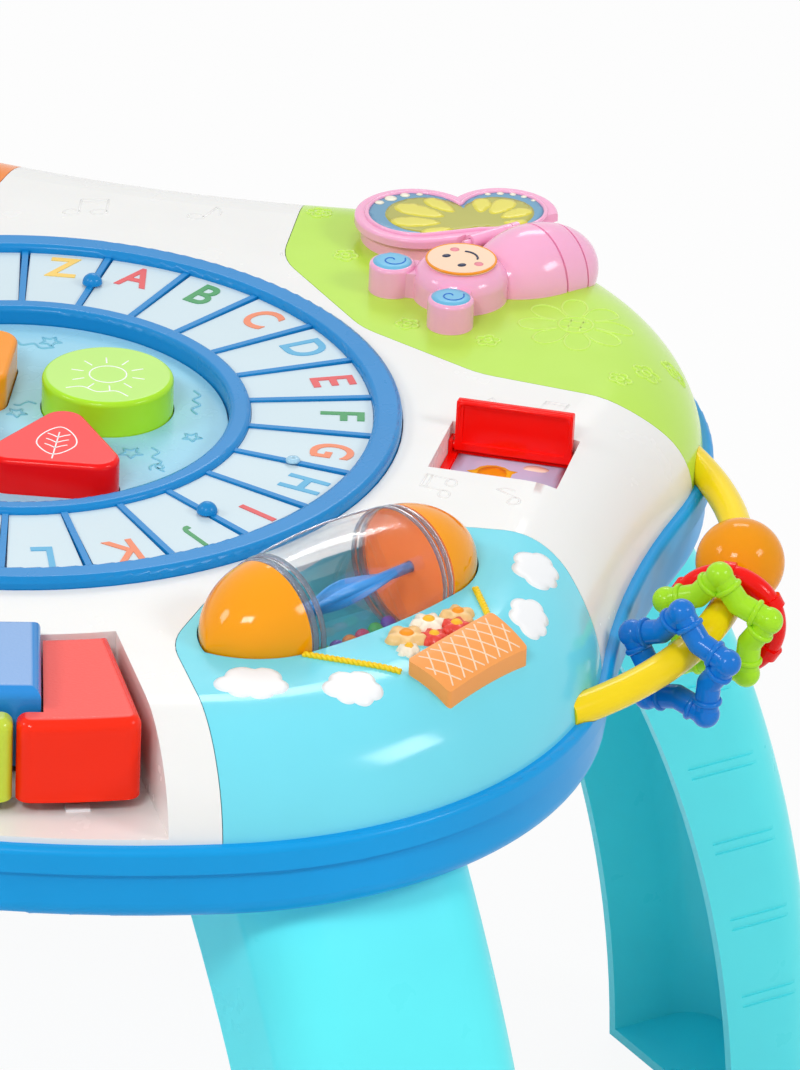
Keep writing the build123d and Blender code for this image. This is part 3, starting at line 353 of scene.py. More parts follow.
def tube_mesh(points, radius, closed, sides, verts, faces):
    """Add one round rib along points, in metres, with rounded ends."""
    count = len(points)
    rings, ways = [], []
    for k in range(count):
        before = points[k - 1] if closed or k > 0 else points[k]
        after = points[(k + 1) % count] if closed or k < count - 1 else points[k]
        along = (after - before).normalized()
        side = along.cross(UP)
        side = side.normalized() if side.length > 1e-6 else Vector((1, 0, 0))
        rings.append((points[k], side, side.cross(along), radius))
        ways.append(along)
    if not closed:
        (p, s, u, r), a = rings[0], ways[0]
        start = [(p - a * r * far, s, u, r * wide) for far, wide in RIB_END]
        (p, s, u, r), a = rings[-1], ways[-1]
        rings = start + rings + [(p + a * r * far, s, u, r * wide) for far, wide in RIB_END[::-1]]
    base = len(verts)
    for p, s, u, r in rings:
        for j in range(sides):
            t = 2 * math.pi * j / sides
            verts.append(p + s * (r * math.cos(t)) + u * (r * math.sin(t)))
    skin(base, len(rings), sides, closed, faces)


def tubes(name, paths, look, body, radius, sides=6):
    """One piece of several ribs; each path is (points in metres, closed)."""
    verts, faces = [], []
    for points, closed in paths:
        tube_mesh(points, radius * MM, closed, sides, verts, faces)
    return add(name, verts, faces, look, body)


def edge_distance(x, y, outline):
    """How far a place lies from the nearest edge of an outline."""
    best = 1e9
    for k, (ax, ay) in enumerate(outline):
        bx, by = outline[(k + 1) % len(outline)]
        dx, dy = bx - ax, by - ay
        t = max(0.0, min(1.0, ((x - ax) * dx + (y - ay) * dy) / (dx * dx + dy * dy + 1e-12)))
        best = min(best, math.hypot(x - ax - t * dx, y - ay - t * dy))
    return best


def inside(x, y, outline):
    """Whether a place lies within an outline."""
    found = False
    for k, (ax, ay) in enumerate(outline):
        bx, by = outline[(k + 1) % len(outline)]
        if (ay > y) != (by > y) and x < (bx - ax) * (y - ay) / (by - ay) + ax:
            found = not found
    return found


def patch_mesh(outline, place, rise, edge, step, sink, verts, faces):
    """Closed pillow over an outline in plan; place(x, y, lift) gives points in metres."""
    xs = [p[0] for p in outline]
    ys = [p[1] for p in outline]
    points = [Vector((x, y)) for x, y in outline]
    nx = int((max(xs) - min(xs)) / step) + 1
    ny = int((max(ys) - min(ys)) / step) + 1
    for i in range(1, nx):
        for j in range(1, ny):
            x, y = min(xs) + i * step, min(ys) + j * step
            if inside(x, y, outline) and edge_distance(x, y, outline) > 0.45 * step:
                points.append(Vector((x, y)))
    result = geometry.delaunay_2d_cdt(points, [], [list(range(len(outline)))], 1, 1e-6)
    flat, triangles = result[0], result[2]
    base = len(verts)
    count = len(flat)
    for p in flat:
        far = min(edge_distance(p.x, p.y, outline) / edge, 1.0)
        verts.append(place(p.x, p.y, rise * math.sqrt(max(0.0, 1 - (1 - far) ** 2))))
    for p in flat:
        verts.append(place(p.x, p.y, -sink))
    edges = {}
    for tri in triangles:
        faces.append([base + k for k in tri])
        faces.append([base + count + k for k in reversed(tri)])
        for k in range(len(tri)):
            pair = (tri[k], tri[(k + 1) % len(tri)])
            edges[pair] = True
    for a, b in edges:
        if (b, a) not in edges:
            faces.append([base + b, base + a, base + count + a, base + count + b])


def patches(name, outlines, place, look, body, rise, edge, step, sink=0.3):
    """One piece of several pillows."""
    verts, faces = [], []
    for outline in outlines:
        patch_mesh(outline, place, rise, edge, step, sink, verts, faces)
    return add(name, verts, faces, look, body)


def over(tree, raised=0.0):
    """Placing function for a surface."""
    return lambda x, y, lift: drape(tree, x, y, lift + raised)


def level(z):
    """Placing function for a flat top at a height."""
    return lambda x, y, lift: at(x, y, z + lift)


def turned_mesh(profile, centre, axis, segments, verts, faces):
    """Add one ring turned from a closed profile of (along, radius) in millimetres about an axis."""
    axis = axis.normalized()
    side = axis.orthogonal().normalized()
    up = axis.cross(side)
    base = len(verts)
    for k in range(segments):
        t = 2 * math.pi * k / segments
        out = side * math.cos(t) + up * math.sin(t)
        verts += [centre + axis * a * MM + out * r * MM for a, r in profile]
    skin(base, segments, len(profile), True, faces)


def lathe(name, profile, centre, axis, look, body, segments):
    """Piece of one turned ring."""
    verts, faces = [], []
    turned_mesh(profile, centre, axis, segments, verts, faces)
    return add(name, verts, faces, look, body)


def ball_mesh(centre, radius, seam, verts, faces, rows=14, cols=24):
    """Add one ball with a shallow seam round its middle."""
    base = len(verts)
    verts.append(centre + UP * radius * MM)
    for i in range(1, rows):
        p = math.pi * i / rows
        r = (radius - (seam if i == rows // 2 else 0.0)) * math.sin(p)
        for j in range(cols):
            t = 2 * math.pi * j / cols
            verts.append(centre + Vector((r * math.cos(t), r * math.sin(t), radius * math.cos(p))) * MM)
    verts.append(centre - UP * radius * MM)
    for j in range(cols):
        m = (j + 1) % cols
        faces.append([base, base + 1 + j, base + 1 + m])
        for i in range(rows - 2):
            a = base + 1 + i * cols
            faces.append([a + j, a + cols + j, a + cols + m, a + m])
        last = base + 1 + (rows - 2) * cols
        faces.append([base + 1 + (rows - 1) * cols, last + m, last + j])


# Lines and outlines in plan


def polar(x, y, r, turn):
    """Place at a distance and a turn from another."""
    return x + r * math.cos(turn), y + r * math.sin(turn)


def ring_of(x, y, r, count):
    """Circle of points."""
    return [polar(x, y, r, 2 * math.pi * k / count) for k in range(count)]


def turn_about(points, x, y, degrees, scale=1.0):
    """Drawn points turned, scaled and carried to a place in plan."""
    c, s = math.cos(math.radians(degrees)) * scale, math.sin(math.radians(degrees)) * scale
    return [(x + c * u - s * v, y + s * u + c * v) for u, v in points]


def reach_of(outline, x, y, turn):
    """How far the far side of an outline lies from a point, in one direction."""
    best = 0.0
    c, s = math.cos(turn), math.sin(turn)
    for k, (ax, ay) in enumerate(outline):
        bx, by = outline[(k + 1) % len(outline)]
        dx, dy = bx - ax, by - ay
        across = c * dy - s * dx
        if abs(across) < 1e-9:
            continue
        far = ((ax - x) * dy - (ay - y) * dx) / across
        share = ((ax - x) * s - (ay - y) * c) / across
        if far > best and 0 <= share <= 1:
            best = far
    return best


def joined(outlines, x, y, count):
    """Common outline of overlapping outlines, seen from a point that they share."""
    out = []
    for k in range(count):
        t = 2 * math.pi * k / count
        far = max(reach_of(outline, x, y, t) for outline in outlines)
        out.append(polar(x, y, far, t))
    return out


def smooth_line(points, steps=6, closed=False):
    """Rounded line through drawn points."""
    out = []
    count = len(points)
    for k in range(count if closed else count - 1):
        p = [points[(k + j) % count] if closed else points[max(0, min(count - 1, k + j))] for j in (-1, 0, 1, 2)]
        for j in range(steps):
            t = j / steps
            row = []
            for axis in (0, 1):
                a, b, c, d = (q[axis] for q in p)
                row.append(0.5 * (2 * b + (c - a) * t + (2 * a - 5 * b + 4 * c - d) * t * t
                                  + (3 * b - a - 3 * c + d) * t ** 3))
            out.append(tuple(row))
    if not closed:
        out.append(points[-1])
    return out


def flower_outline(x, y, r, petals, turn, depth=0.32, count=60):
    """Outline of round petals."""
    out = []
    for k in range(count):
        t = 2 * math.pi * k / count
        reach = r * (1 - depth + depth * abs(math.cos(petals * t / 2)) ** 0.7)
        out.append(polar(x, y, reach, t + turn))
    return out


def star_outline(x, y, r, turn, points=5, inner=0.48):
    """Outline of a star; inner is the share of the radius at its inner corners."""
    return [polar(x, y, r * inner if k % 2 else r, turn + math.pi * k / points) for k in range(2 * points)]


def draw(tree, points, sink, closed=False):
    """Rib path over a surface."""
    return [drape(tree, x, y, -sink) for x, y in points], closed


def draw_at(z, points, closed=False):
    """Rib path at a height."""
    return [at(x, y, z) for x, y in points], closed


def lies_on(tree, x, y, z, margin):
    """Whether a flat top at a height carries a place in plan and its surroundings."""
    for u, v in [(x, y)] + ring_of(x, y, margin, 8):
        hit = tree.ray_cast(at(u, v, ABOVE_ALL), DOWN)[0]
        if hit is None or abs(hit.z - z * MM) > 0.3 * MM:
            return False
    return True


def fits(tree, points):
    """Whether a surface lies under every place."""
    return all(tree.ray_cast(at(x, y, ABOVE_ALL), DOWN)[0] is not None for x, y in points)


def draw_runs(tree, points, z, sink, margin, least=6):
    """Rib paths over the stretches of a line that a flat top carries."""
    out = [[]]
    for x, y in points:
        if lies_on(tree, x, y, z, margin):
            out[-1].append(at(x, y, z - sink))
        elif out[-1]:
            out.append([])
    return [(line, False) for line in out if len(line) >= least]


shell = surface("top_shell", "centre_panel")
green = surface("green_panel")
blue = surface("blue_panel")
panel = surface("centre_panel")


# Letters on the dial

LETTERS = "ABCDEFGHIJKLMNOPQRSTUVWXYZ"
TILE_STEP = 360 / len(LETTERS)
TILE_TOP = DECK + 1.2
LETTER_LIFT = 0.05
LETTER_R = 114.2
LETTER_TALL = 15.4
LETTER_WIDE = 0.78
STROKE_WIDER = 0.016
LETTER_THICK = 0.012


def letter_shape(char):
    """Triangulated plain letter of unit height, centred."""
    curve = bpy.data.curves.new("letter_" + char, "FONT")
    curve.body = char
    curve.size = 1.0
    # The M's inner corners would cross if its strokes were widened.
    curve.offset = 0.0 if char == "M" else STROKE_WIDER
    curve.extrude = LETTER_THICK
    curve.resolution_u = 6
    obj = bpy.data.objects.new("letter_" + char, curve)
    scene.collection.objects.link(obj)
    bpy.context.view_layer.update()
    mesh = bpy.data.meshes.new_from_object(obj.evaluated_get(bpy.context.evaluated_depsgraph_get()))
    points = [v.co.copy() for v in mesh.vertices]
    faces = [list(p.vertices) for p in mesh.polygons]
    bpy.data.objects.remove(obj)
    bpy.data.curves.remove(curve)
    bpy.data.meshes.remove(mesh)
    low = Vector((min(p.x for p in points), min(p.y for p in points), 0))
    high = Vector((max(p.x for p in points), max(p.y for p in points), 0))
    middle = (low + high) / 2
    tall = high.y - low.y
    return [(p - middle) / tall for p in points], faces


letter_slots = {"red": "red", "green": "lime", "orange": "orange", "blue": "blue", "yellow": "yellow"}
letter_sets = {key: ([], []) for key in letter_slots}
for k, char in enumerate(LETTERS):
    key = "yellow" if char == "Z" else ("red", "green", "orange", "blue")[k % 4]
    points, faces = letter_shape(char)
    verts, polys = letter_sets[key]
    turn = math.radians(90 - TILE_STEP * (k + 0.5))
    out = Vector((math.cos(turn), math.sin(turn)))
    right = Vector((math.sin(turn), -math.cos(turn)))
    base = len(verts)
    for p in points:
        flat = out * (LETTER_R + p.y * LETTER_TALL) + right * p.x * LETTER_TALL * LETTER_WIDE
        verts.append(at(flat.x, flat.y, TILE_TOP + LETTER_LIFT + p.z * LETTER_TALL * LETTER_WIDE))
    polys += [[base + j for j in face] for face in faces]
for key, (verts, polys) in letter_sets.items():
    add("letters_" + key, verts, polys, "letter_" + key, "dial", smooth=False)

BUMP_TILE = 7
BUMP_R = 104.0
bump_turn = math.radians(90 - TILE_STEP * BUMP_TILE)
lathe("dial_click_bump", [(0, 0.2), (0, 2.6), (0.7, 2.5), (1.2, 2.0), (1.5, 0.2)],
      at(*polar(0, 0, BUMP_R, bump_turn), DECK + 1.9), UP, "bump_blue", "dial", segments=32)


# Raised drawings on the centre panel

PANEL_TOP = max(v.co.z for v in nodes["centre_panel"].data.vertices) / MM
EMBOSS_SINK = 0.25
LINE_ROOM, STAR_ROOM = 1.6, 1.2
WAVE_SCALE, CURL_SCALE = 0.9, 0.45
STAR_DENSE = 4
wave = [(0, 0), (4, 2.2), (8, -0.6), (12, 2.4), (16, 0), (20, 2.6)]
curl = [polar(0, 0, 0.6 * k, 0.62 * k) for k in range(2, 13)]
centre_lines = []
for x, y, turn in ((52, -8, -70), (8, 48, 12), (60, 22, 100), (-60, -6, 85), (-20, 58, -8), (2, -66, 4),
                   (-62, 28, 60), (5, -14, -58), (-8, 8, 20)):
    line = smooth_line(turn_about(wave, x, y, turn, WAVE_SCALE))
    centre_lines += draw_runs(panel, line, PANEL_TOP, EMBOSS_SINK, LINE_ROOM)
for x, y in ((58, -22), (-52, 52), (14, -10), (-62, -24), (30, 60)):
    line = smooth_line(turn_about(curl, x, y, 40 * x, CURL_SCALE), 3)
    centre_lines += draw_runs(panel, line, PANEL_TOP, EMBOSS_SINK, LINE_ROOM)
for x, y, r in ((46, -14, 4.2), (63, 4, 3.4), (-4, 62, 4.0), (-66, 8, 3.6), (-6, -62, 3.8), (0, 4, 3.6)):
    star = star_outline(x, y, r, 0.3 * x)
    line = []
    for k, (ax, ay) in enumerate(star):
        bx, by = star[(k + 1) % len(star)]
        line += [(ax + (bx - ax) * t / STAR_DENSE, ay + (by - ay) * t / STAR_DENSE) for t in range(STAR_DENSE)]
    centre_lines += draw_runs(panel, line + line[:1], PANEL_TOP, EMBOSS_SINK, STAR_ROOM)
# The raised lines take a darker teal: painted shade
tubes("centre_emboss", centre_lines, "emboss_teal_painted_shade", "table", radius=0.62)


# White line drawings on the push buttons

BUTTON_FOOT, BUTTON_TALL, PRINT_SINK = 350.0, 13.0, 0.28
BUTTON_TOP = BUTTON_FOOT + BUTTON_TALL - PRINT_SINK
ROUND_AT, TRIANGLE_AT, SQUARE_AT, HEXAGON_AT = (29, 17.5), (26, -38), (-27, 19), (-25, -36)
LEAF_TURN, HEART_TURN = 8, 8
HEART_SCALE, INNER_HEART = 0.68, 0.6


def print_on(button, drawing, lines):
    """White drawing on a push button; each line is (points in plan, closed)."""
    paths = [draw_at(BUTTON_TOP, points, closed) for points, closed in lines]
    tubes(f"{button}_{drawing}", paths, "print_white", button, radius=0.42)


sun = [(ring_of(*ROUND_AT, 6.5, 32), True)]
for k in range(10):
    t = 2 * math.pi * k / 10
    sun.append(([polar(*ROUND_AT, r, t) for r in (9.0, 11.0, 13.0)], False))
sun.append((smooth_line([(18, 3), (23, 5.6), (29, 3.2), (35, 5.6), (40, 3)]), False))
print_on("round_button", "sun", sun)

leaf = [(0, -10), (-6.5, -3), (-5.5, 5), (0, 11), (5.5, 5), (6.5, -3)]
sprout = [(smooth_line(turn_about(leaf, *TRIANGLE_AT, LEAF_TURN), 6, True), True),
          (turn_about([(0, -13), (0, -4), (0, 7)], *TRIANGLE_AT, LEAF_TURN), False)]
for rise in (-5, -1, 3):
    for side in (-1, 1):
        vein = [(0, rise), (side * 2, rise + 1.6), (side * 3.8, rise + 2.6)]
        sprout.append((turn_about(vein, *TRIANGLE_AT, LEAF_TURN), False))
print_on("triangle_button", "leaf", sprout)

heart = []
for k in range(48):
    t = 2 * math.pi * k / 48
    tall = 13 * math.cos(t) - 5 * math.cos(2 * t) - 2 * math.cos(3 * t) - math.cos(4 * t)
    heart.append((HEART_SCALE * 16 * math.sin(t) ** 3, HEART_SCALE * tall))
print_on("square_button", "heart",
         [(turn_about(heart, *SQUARE_AT, HEART_TURN, scale), True) for scale in (1.0, INNER_HEART)])

print_on("hexagon_button", "flower", [(flower_outline(*HEXAGON_AT, 14, 6, 0.0, 0.35, 96), True),
                                      (ring_of(*HEXAGON_AT, 4.2, 28), True)])


# Picture card in the door pocket

CARD_Z = 342.7
CARD_TOP = CARD_Z + 0.44
SUN_AT = (166.1, 21.4)
SUN_R, RAY_R, RAY_GAP_R = 5.4, 9.4, 7.0
RAY_POINTS = 28
PUFF = [(-6, -2), (-5, 2), (-1, 3.4), (3, 2.6), (6, 0.4), (4.4, -2.6), (0, -3)]
card = [(151.2, 4.5), (189.8, 4.5), (189.8, 34.5), (151.2, 34.5)]
patches("door_card", [card], level(CARD_Z), "card_lavender", "table", rise=0.45, edge=0.4, step=4.0,
        sink=0.0)
rays = [polar(*SUN_AT, RAY_GAP_R if k % 2 else RAY_R, 2 * math.pi * k / RAY_POINTS) for k in range(RAY_POINTS)]
puffs = [smooth_line(turn_about(PUFF, x, y, 0, scale), 5, True)
         for x, y, scale in ((180, 29.6, 0.75), (183, 14, 0.8), (157, 9.5, 0.7), (175, 8.5, 0.6))]
for name, outlines, z, look, slot, step in (
        ("card_sun_rays", [rays], CARD_TOP, "sun_yellow", "yellow", 3.0),
        ("card_sun", [ring_of(*SUN_AT, SUN_R, 32)], CARD_TOP + 0.12, "sun_orange", "orange", 3.0),
        ("card_clouds", puffs, CARD_TOP, "card_peach", "peach", 2.0)):
    patches(name, outlines, level(z), look, "table", rise=0.15, edge=0.2, step=step, sink=0.0)


# Airship: end bands, seam ribs, twisted vane and coloured balls

SHIP = at(SHIP_X, SHIP_Y, SHIP_Z)
SHIP_AXIS = Vector((math.cos(SHIP_TURN), math.sin(SHIP_TURN), 0))
SHIP_ACROSS = Vector((-math.sin(SHIP_TURN), math.cos(SHIP_TURN), 0))
DRUM_R = 24.5
DRUM_BULGE = 206.05
DRUM_HALF, DRUM_TAPER, DRUM_WALL = 32.0, 2.5, 1.6
BAND_EDGE, BAND_CROWN, BAND_SINK = 0.15, 0.3, 0.6
SEAM_TURNS = (62, 242)
SEAM_SINK = 0.15


def drum_r(u):
    """Outer radius of the drum at a place along it."""
    return DRUM_R - DRUM_BULGE + math.sqrt(DRUM_BULGE ** 2 - u * u)


def round_ship(turn):
    """Direction across the airship at a turn about its axis."""
    return SHIP_ACROSS * math.cos(turn) + UP * math.sin(turn)


for side, label, low, high in ((-1, "front", 30.0, 31.9), (-1, "front_inner", 27.0, 28.6),
                               (1, "rear", 30.0, 31.9), (1, "rear_inner", 27.0, 28.6)):
    inner, outer = low * side, high * side
    middle = (inner + outer) / 2
    lathe(f"drum_band_{label}",
          [(inner, drum_r(inner) - BAND_SINK), (inner, drum_r(inner) + BAND_EDGE),
           (middle, drum_r(middle) + BAND_CROWN),
           (outer, drum_r(outer) + BAND_EDGE), (outer, drum_r(outer) - BAND_SINK)],
          SHIP, SHIP_AXIS, "ring_grey", "airship_turning", segments=96)
seams = []
for degrees in SEAM_TURNS:
    out = round_ship(math.radians(degrees))
    line = [SHIP + SHIP_AXIS * u * MM + out * (drum_r(u) - SEAM_SINK) * MM for u in range(-27, 28, 2)]
    seams.append((line, False))
tubes("drum_seams", seams, "ring_grey", "airship_turning", radius=0.4, sides=8)

VANE_HALF = 27.5
VANE_TWIST = 215.0
VANE_REAR_TURN = 144.0
VANE_STEPS = 72
VANE_REAR_HALF_WIDE, VANE_WIDENS = 3.0, 3.6
# Section of the vane: share of its half width, and millimetres from its middle plane
VANE_SECTION = ((-1, 0), (-0.93, -0.55), (0, -0.8), (0.93, -0.55), (1, 0), (0.93, 0.55), (0, 0.8), (-0.93, 0.55))
AXLE_HALF, AXLE_R = 44.5, 1.9
verts, faces = [], []
for k in range(VANE_STEPS + 1):
    share = k / VANE_STEPS
    u = VANE_HALF * (1 - 2 * share)
    wide = round_ship(math.radians(VANE_REAR_TURN + VANE_TWIST * share))
    thick = SHIP_AXIS.cross(wide)
    half = VANE_REAR_HALF_WIDE + VANE_WIDENS * share
    for w, d in VANE_SECTION:
        verts.append(SHIP + (SHIP_AXIS * u + wide * (w * half) + thick * d) * MM)
skin(0, VANE_STEPS + 1, len(VANE_SECTION), False, faces)
axle = [SHIP + SHIP_AXIS * u * MM for u in (-AXLE_HALF, -VANE_HALF, 0, VANE_HALF, AXLE_HALF)]
tube_mesh(axle, AXLE_R * MM, False, 20, verts, faces)
vane = add("twisted_vane", verts, faces, "vane_blue", "airship_turning")
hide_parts("airship_vane")

BALL_COLOURS = ("purple", "green", "magenta", "orange")
BALL_COUNT, BALL_STEP = 9, 5.9
BALL_R, BALL_GAP, BALL_SEAM = 2.75, 0.2, 0.06
ball_sets = {key: ([], []) for key in BALL_COLOURS}
for k in range(BALL_COUNT):
    verts, faces = ball_sets[BALL_COLOURS[(k * 3) % 4]]
    along = (k - BALL_COUNT // 2) * BALL_STEP
    drop = DRUM_R - DRUM_TAPER * (along / DRUM_HALF) ** 2 - DRUM_WALL - BALL_R - BALL_GAP
    centre = SHIP + SHIP_AXIS * along * MM - UP * drop * MM
    ball_mesh(centre, BALL_R, BALL_SEAM, verts, faces)
for key, (verts, faces) in ball_sets.items():
    ball = add("rattle_balls_" + key, verts, faces, "ball_" + key, "airship_turning")
    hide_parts("rattle_balls")


# Ropes, basket weave, flowers and clouds beside the airship

ROPE_R, ROPE_PITCH, ROPE_STEP = 0.9, 3.6, 0.4
# Shares of the rope's radius: each strand's way from the middle, the middle's height and the strand's radius
STRAND_OUT, ROPE_LIFT, STRAND_R = 0.62, 0.55, 0.8


def rope(name, start, end, tree):
    """Moulded two-strand rope relief lying on a panel."""
    dx, dy = end[0] - start[0], end[1] - start[1]
    length = math.hypot(dx, dy)
    count = int(length / ROPE_STEP)
    paths = []
    for phase in (0.0, math.pi):
        line = []
        for k in range(count + 1):
            t = k / count
            turn = 2 * math.pi * t * length / ROPE_PITCH + phase
            w = STRAND_OUT * ROPE_R * math.cos(turn)
            x, y = start[0] + dx * t + -dy / length * w, start[1] + dy * t + dx / length * w
            line.append(drape(tree, x, y, ROPE_LIFT * ROPE_R + STRAND_OUT * ROPE_R * math.sin(turn)))
        paths.append((line, False))
    return tubes(name, paths, "rope_yellow", "table", radius=ROPE_R * STRAND_R, sides=8)


rope("rope_front", (141.0, -146.4), (173.6, -147.6), blue)
rope("rope_rear", (184.4, -83.6), (193.6, -102.6), blue)

BASKET_AT = (193, -129.5)
BASKET_TURN = 66.0
BASKET_TALL, BASKET_FOOT_HALF, BASKET_FLARE = 17, 21.5, 1.5
WEAVE_STEP, WEAVE_SLOPE, WEAVE_POINTS = 6.4, 0.75, 24
WEAVE_SIDE, WEAVE_HALF_TALL = 1.4, 7.4
basket = surface("basket_relief")
weave = []
for k in range(-5, 6):
    for slope in (-1, 1):
        line = []
        for j in range(WEAVE_POINTS + 1):
            v = -BASKET_TALL / 2 + BASKET_TALL * j / WEAVE_POINTS
            u = k * WEAVE_STEP + slope * v * WEAVE_SLOPE
            half = BASKET_FOOT_HALF + (BASKET_TALL / 2 + v) / BASKET_TALL * BASKET_FLARE - WEAVE_SIDE
            if abs(u) < half and abs(v) < WEAVE_HALF_TALL:
                line.append((u, v))
        if len(line) > 5:
            weave.append(draw(basket, turn_about(line, *BASKET_AT, BASKET_TURN), 0.2))
tubes("basket_weave", weave, "basket_pale", "table", radius=0.42)

HEART_LIFT, HEART_SHARE, HEART_EDGE = 2.3, 0.36, 0.3
heart_looks = {"tan": "sun_orange", "cream": "sun_yellow", "red": "sun_yellow"}
blooms = [("tan", -3, 36, 7.6), ("cream", 9.5, 33.5, 6.6), ("tan", 21, 35.5, 6.4), ("red", 4, 42, 5.6),
          ("red", 15, 41, 5.8), ("cream", -8.5, 43, 4.4)]
for k, (key, along, out, r) in enumerate(blooms):
    x = SHIP_X + along * math.cos(SHIP_TURN) + out * math.sin(SHIP_TURN)
    y = SHIP_Y + along * math.sin(SHIP_TURN) - out * math.cos(SHIP_TURN)
    patches(f"flower_petals_{k}", [flower_outline(x, y, r, 6 if k % 2 else 5, 0.4 * k)], over(blue),
            "petal_" + key, "table", rise=2.6, edge=2.2, step=1.2)
    patches(f"flower_heart_{k}", [ring_of(x, y, r * HEART_SHARE, 20)], over(blue, HEART_LIFT),
            heart_looks[key], "table", rise=1.2, edge=r * HEART_EDGE, step=0.9, sink=0.2)

CLOUD_LOBES = ((-7.8, -1.4, 5.2), (-3.2, 3.6, 6.2), (4.2, 3.4, 6.4), (8.4, -1.6, 4.8), (3.4, -4.0, 5.6),
               (-3.0, -4.2, 5.2))
puffy = joined([ring_of(x, y, r, 40) for x, y, r in CLOUD_LOBES], 0, 0, 96)
clouds = [turn_about([(u * wide, v * tall) for u, v in puffy], x, y, turn) for x, y, turn, wide, tall in (
    (129, -170, 12, 0.95, 1.1), (161, -161.5, 21, 0.78, 0.95),
    (199.5, -58.5, 98, 0.95, 0.82), (204.4, -90, 98, 0.86, 0.68))]
patches("panel_clouds", clouds, over(blue), "cloud_white", "table", rise=0.7, edge=1.2, step=1.6)


# Butterfly: swirls on the hands, plain face and wing print

BUG = (127.0, 136.8)
BUG_TURN = 50.0
HAND_TOP = DECK + 11.0
HAND_U, HAND_V, HAND_R = -17.5, 17.5, 7.0
FACE_TOP = DECK + 13.6 + 1.2
FACE_R = 12.4
SIDES = ((-1, "right"), (1, "left"))


def bug(points):
    """Drawn points carried to the butterfly, with its head at the origin."""
    return turn_about(points, *BUG, BUG_TURN)


for side, label in SIDES:
    u, v = HAND_U, side * HAND_V
    patches(f"hand_disc_{label}", [bug(ring_of(u, v, HAND_R, 36))], level(HAND_TOP),
            "swirl_blue", "table", rise=0.6, edge=0.7, step=1.6, sink=0.2)
    swirl = [polar(u, v, 0.8 + 0.34 * k, 0.5 * k) for k in range(13)]
    tubes(f"hand_swirl_{label}", [draw_at(HAND_TOP + 0.5, bug(smooth_line(swirl, 3)))], "blue", "table",
          radius=0.35)
for side, label in SIDES:
    turns = [t * math.pi / 12 for t in range(24)]
    eye = [(-3.2 + 1.7 * math.cos(t), side * 4.6 + 1.35 * math.sin(t)) for t in turns]
    patches(f"face_eye_{label}", [bug(eye)], level(FACE_TOP), "ink", "table",
            rise=0.35, edge=0.9, step=0.8, sink=0.2)
    patches(f"face_cheek_{label}", [bug(ring_of(2.4, side * 7.2, 1.7, 20))], level(FACE_TOP),
            "cheek", "table", rise=0.15, edge=0.6, step=0.9, sink=0.2)
smile = [(2.6 + 3.4 * math.cos(math.radians(a)), 4.4 * math.sin(math.radians(a))) for a in range(-58, 59, 8)]
tubes("face_smile", [draw_at(FACE_TOP, bug(smile))], "ink", "table", radius=0.4)
tubes("face_rim", [draw_at(FACE_TOP - 0.35, bug(ring_of(0, 0, FACE_R, 56)), True)], "orange", "table",
      radius=0.5)

WING_TOP = DECK + 9.5
WING = 70.0
INSET = 4.4
GLOW_SHARE, GLOW_LIFT, PRINT_LIFT = 0.84, 0.28, 0.42
DROP_POINTS, DROP_SWELL = 28, 0.3
# Each cell's direction, where it starts and ends as shares of the field's reach, and its half width
CELLS = ((166, 0.36, 0.84, 2.6), (143, 0.34, 0.82, 4.3), (119, 0.32, 0.80, 4.8), (96, 0.36, 0.80, 3.6),
         (49, 0.36, 0.82, 3.4), (25, 0.32, 0.80, 4.2), (0, 0.34, 0.80, 3.6), (-25, 0.4, 0.82, 2.2))
# Each dot's turn from its lobe's own direction, and its radius
DOT_ROWS = (((-0.2, 1.7), (-0.56, 2.3), (-0.96, 1.8), (-1.3, 1.2)),
            ((1.0, 1.1), (0.66, 1.3), (0.32, 1.2), (0.0, 1.1), (-0.32, 0.9)))
lobes = ((0.221 * WING, 0.679 * WING, 0.321 * WING), (0.627 * WING, 0.476 * WING, 0.286 * WING))
root = (0.41 * WING, 0.40 * WING, 0.115 * WING)


def hull_of(circles):
    """Convex outline round circles."""
    points = sorted(p for x, y, r in circles for p in ring_of(x, y, r, 48))

    def half(rows):
        out = []
        for p in rows:
            while len(out) > 1 and ((out[-1][0] - out[-2][0]) * (p[1] - out[-2][1])
                                    - (out[-1][1] - out[-2][1]) * (p[0] - out[-2][0])) <= 0:
                out.pop()
            out.append(p)
        return out[:-1]

    return half(points) + half(points[::-1])


def wing_print(name, outlines, lift, rise, edge, step, sink=0.1):
    """Printed shapes on the flapping wing, whose look has the piece's name in the singular."""
    look = name.removesuffix("s")
    patches(name, outlines, level(WING_TOP + lift), look, "butterfly_wing", rise, edge, step, sink)


fields = [hull_of([(x, y, r - INSET), (root[0], root[1], root[2] - INSET)]) for x, y, r in lobes]
field = joined(fields, root[0], root[1], 160)
wing_print("wing_field", [bug(field)], 0, rise=0.3, edge=0.5, step=2.0, sink=0.2)
tubes("wing_rim", [draw_at(WING_TOP + 0.1, bug(field), True)], "pink", "butterfly_wing",
      radius=0.85, sides=8)
inner_field = [(root[0] + (x - root[0]) * GLOW_SHARE, root[1] + (y - root[1]) * GLOW_SHARE) for x, y in field]
wing_print("wing_glow", [bug(inner_field)], GLOW_LIFT, rise=0.15, edge=0.5, step=2.0)
cells = []
for degrees, near, far, half in CELLS:
    reach = max(reach_of(outline, root[0], root[1], math.radians(degrees)) for outline in fields)
    middle, long = reach * (near + far) / 2, reach * (far - near) / 2
    turns = [2 * math.pi * j / DROP_POINTS for j in range(DROP_POINTS)]
    drop = [(middle + long * math.cos(a), half * math.sin(a) * (1 + DROP_SWELL * math.cos(a))) for a in turns]
    cells.append(bug(turn_about(drop, root[0], root[1], degrees)))
wing_print("wing_cells", cells, PRINT_LIFT, rise=0.2, edge=0.5, step=1.6)
dots = []
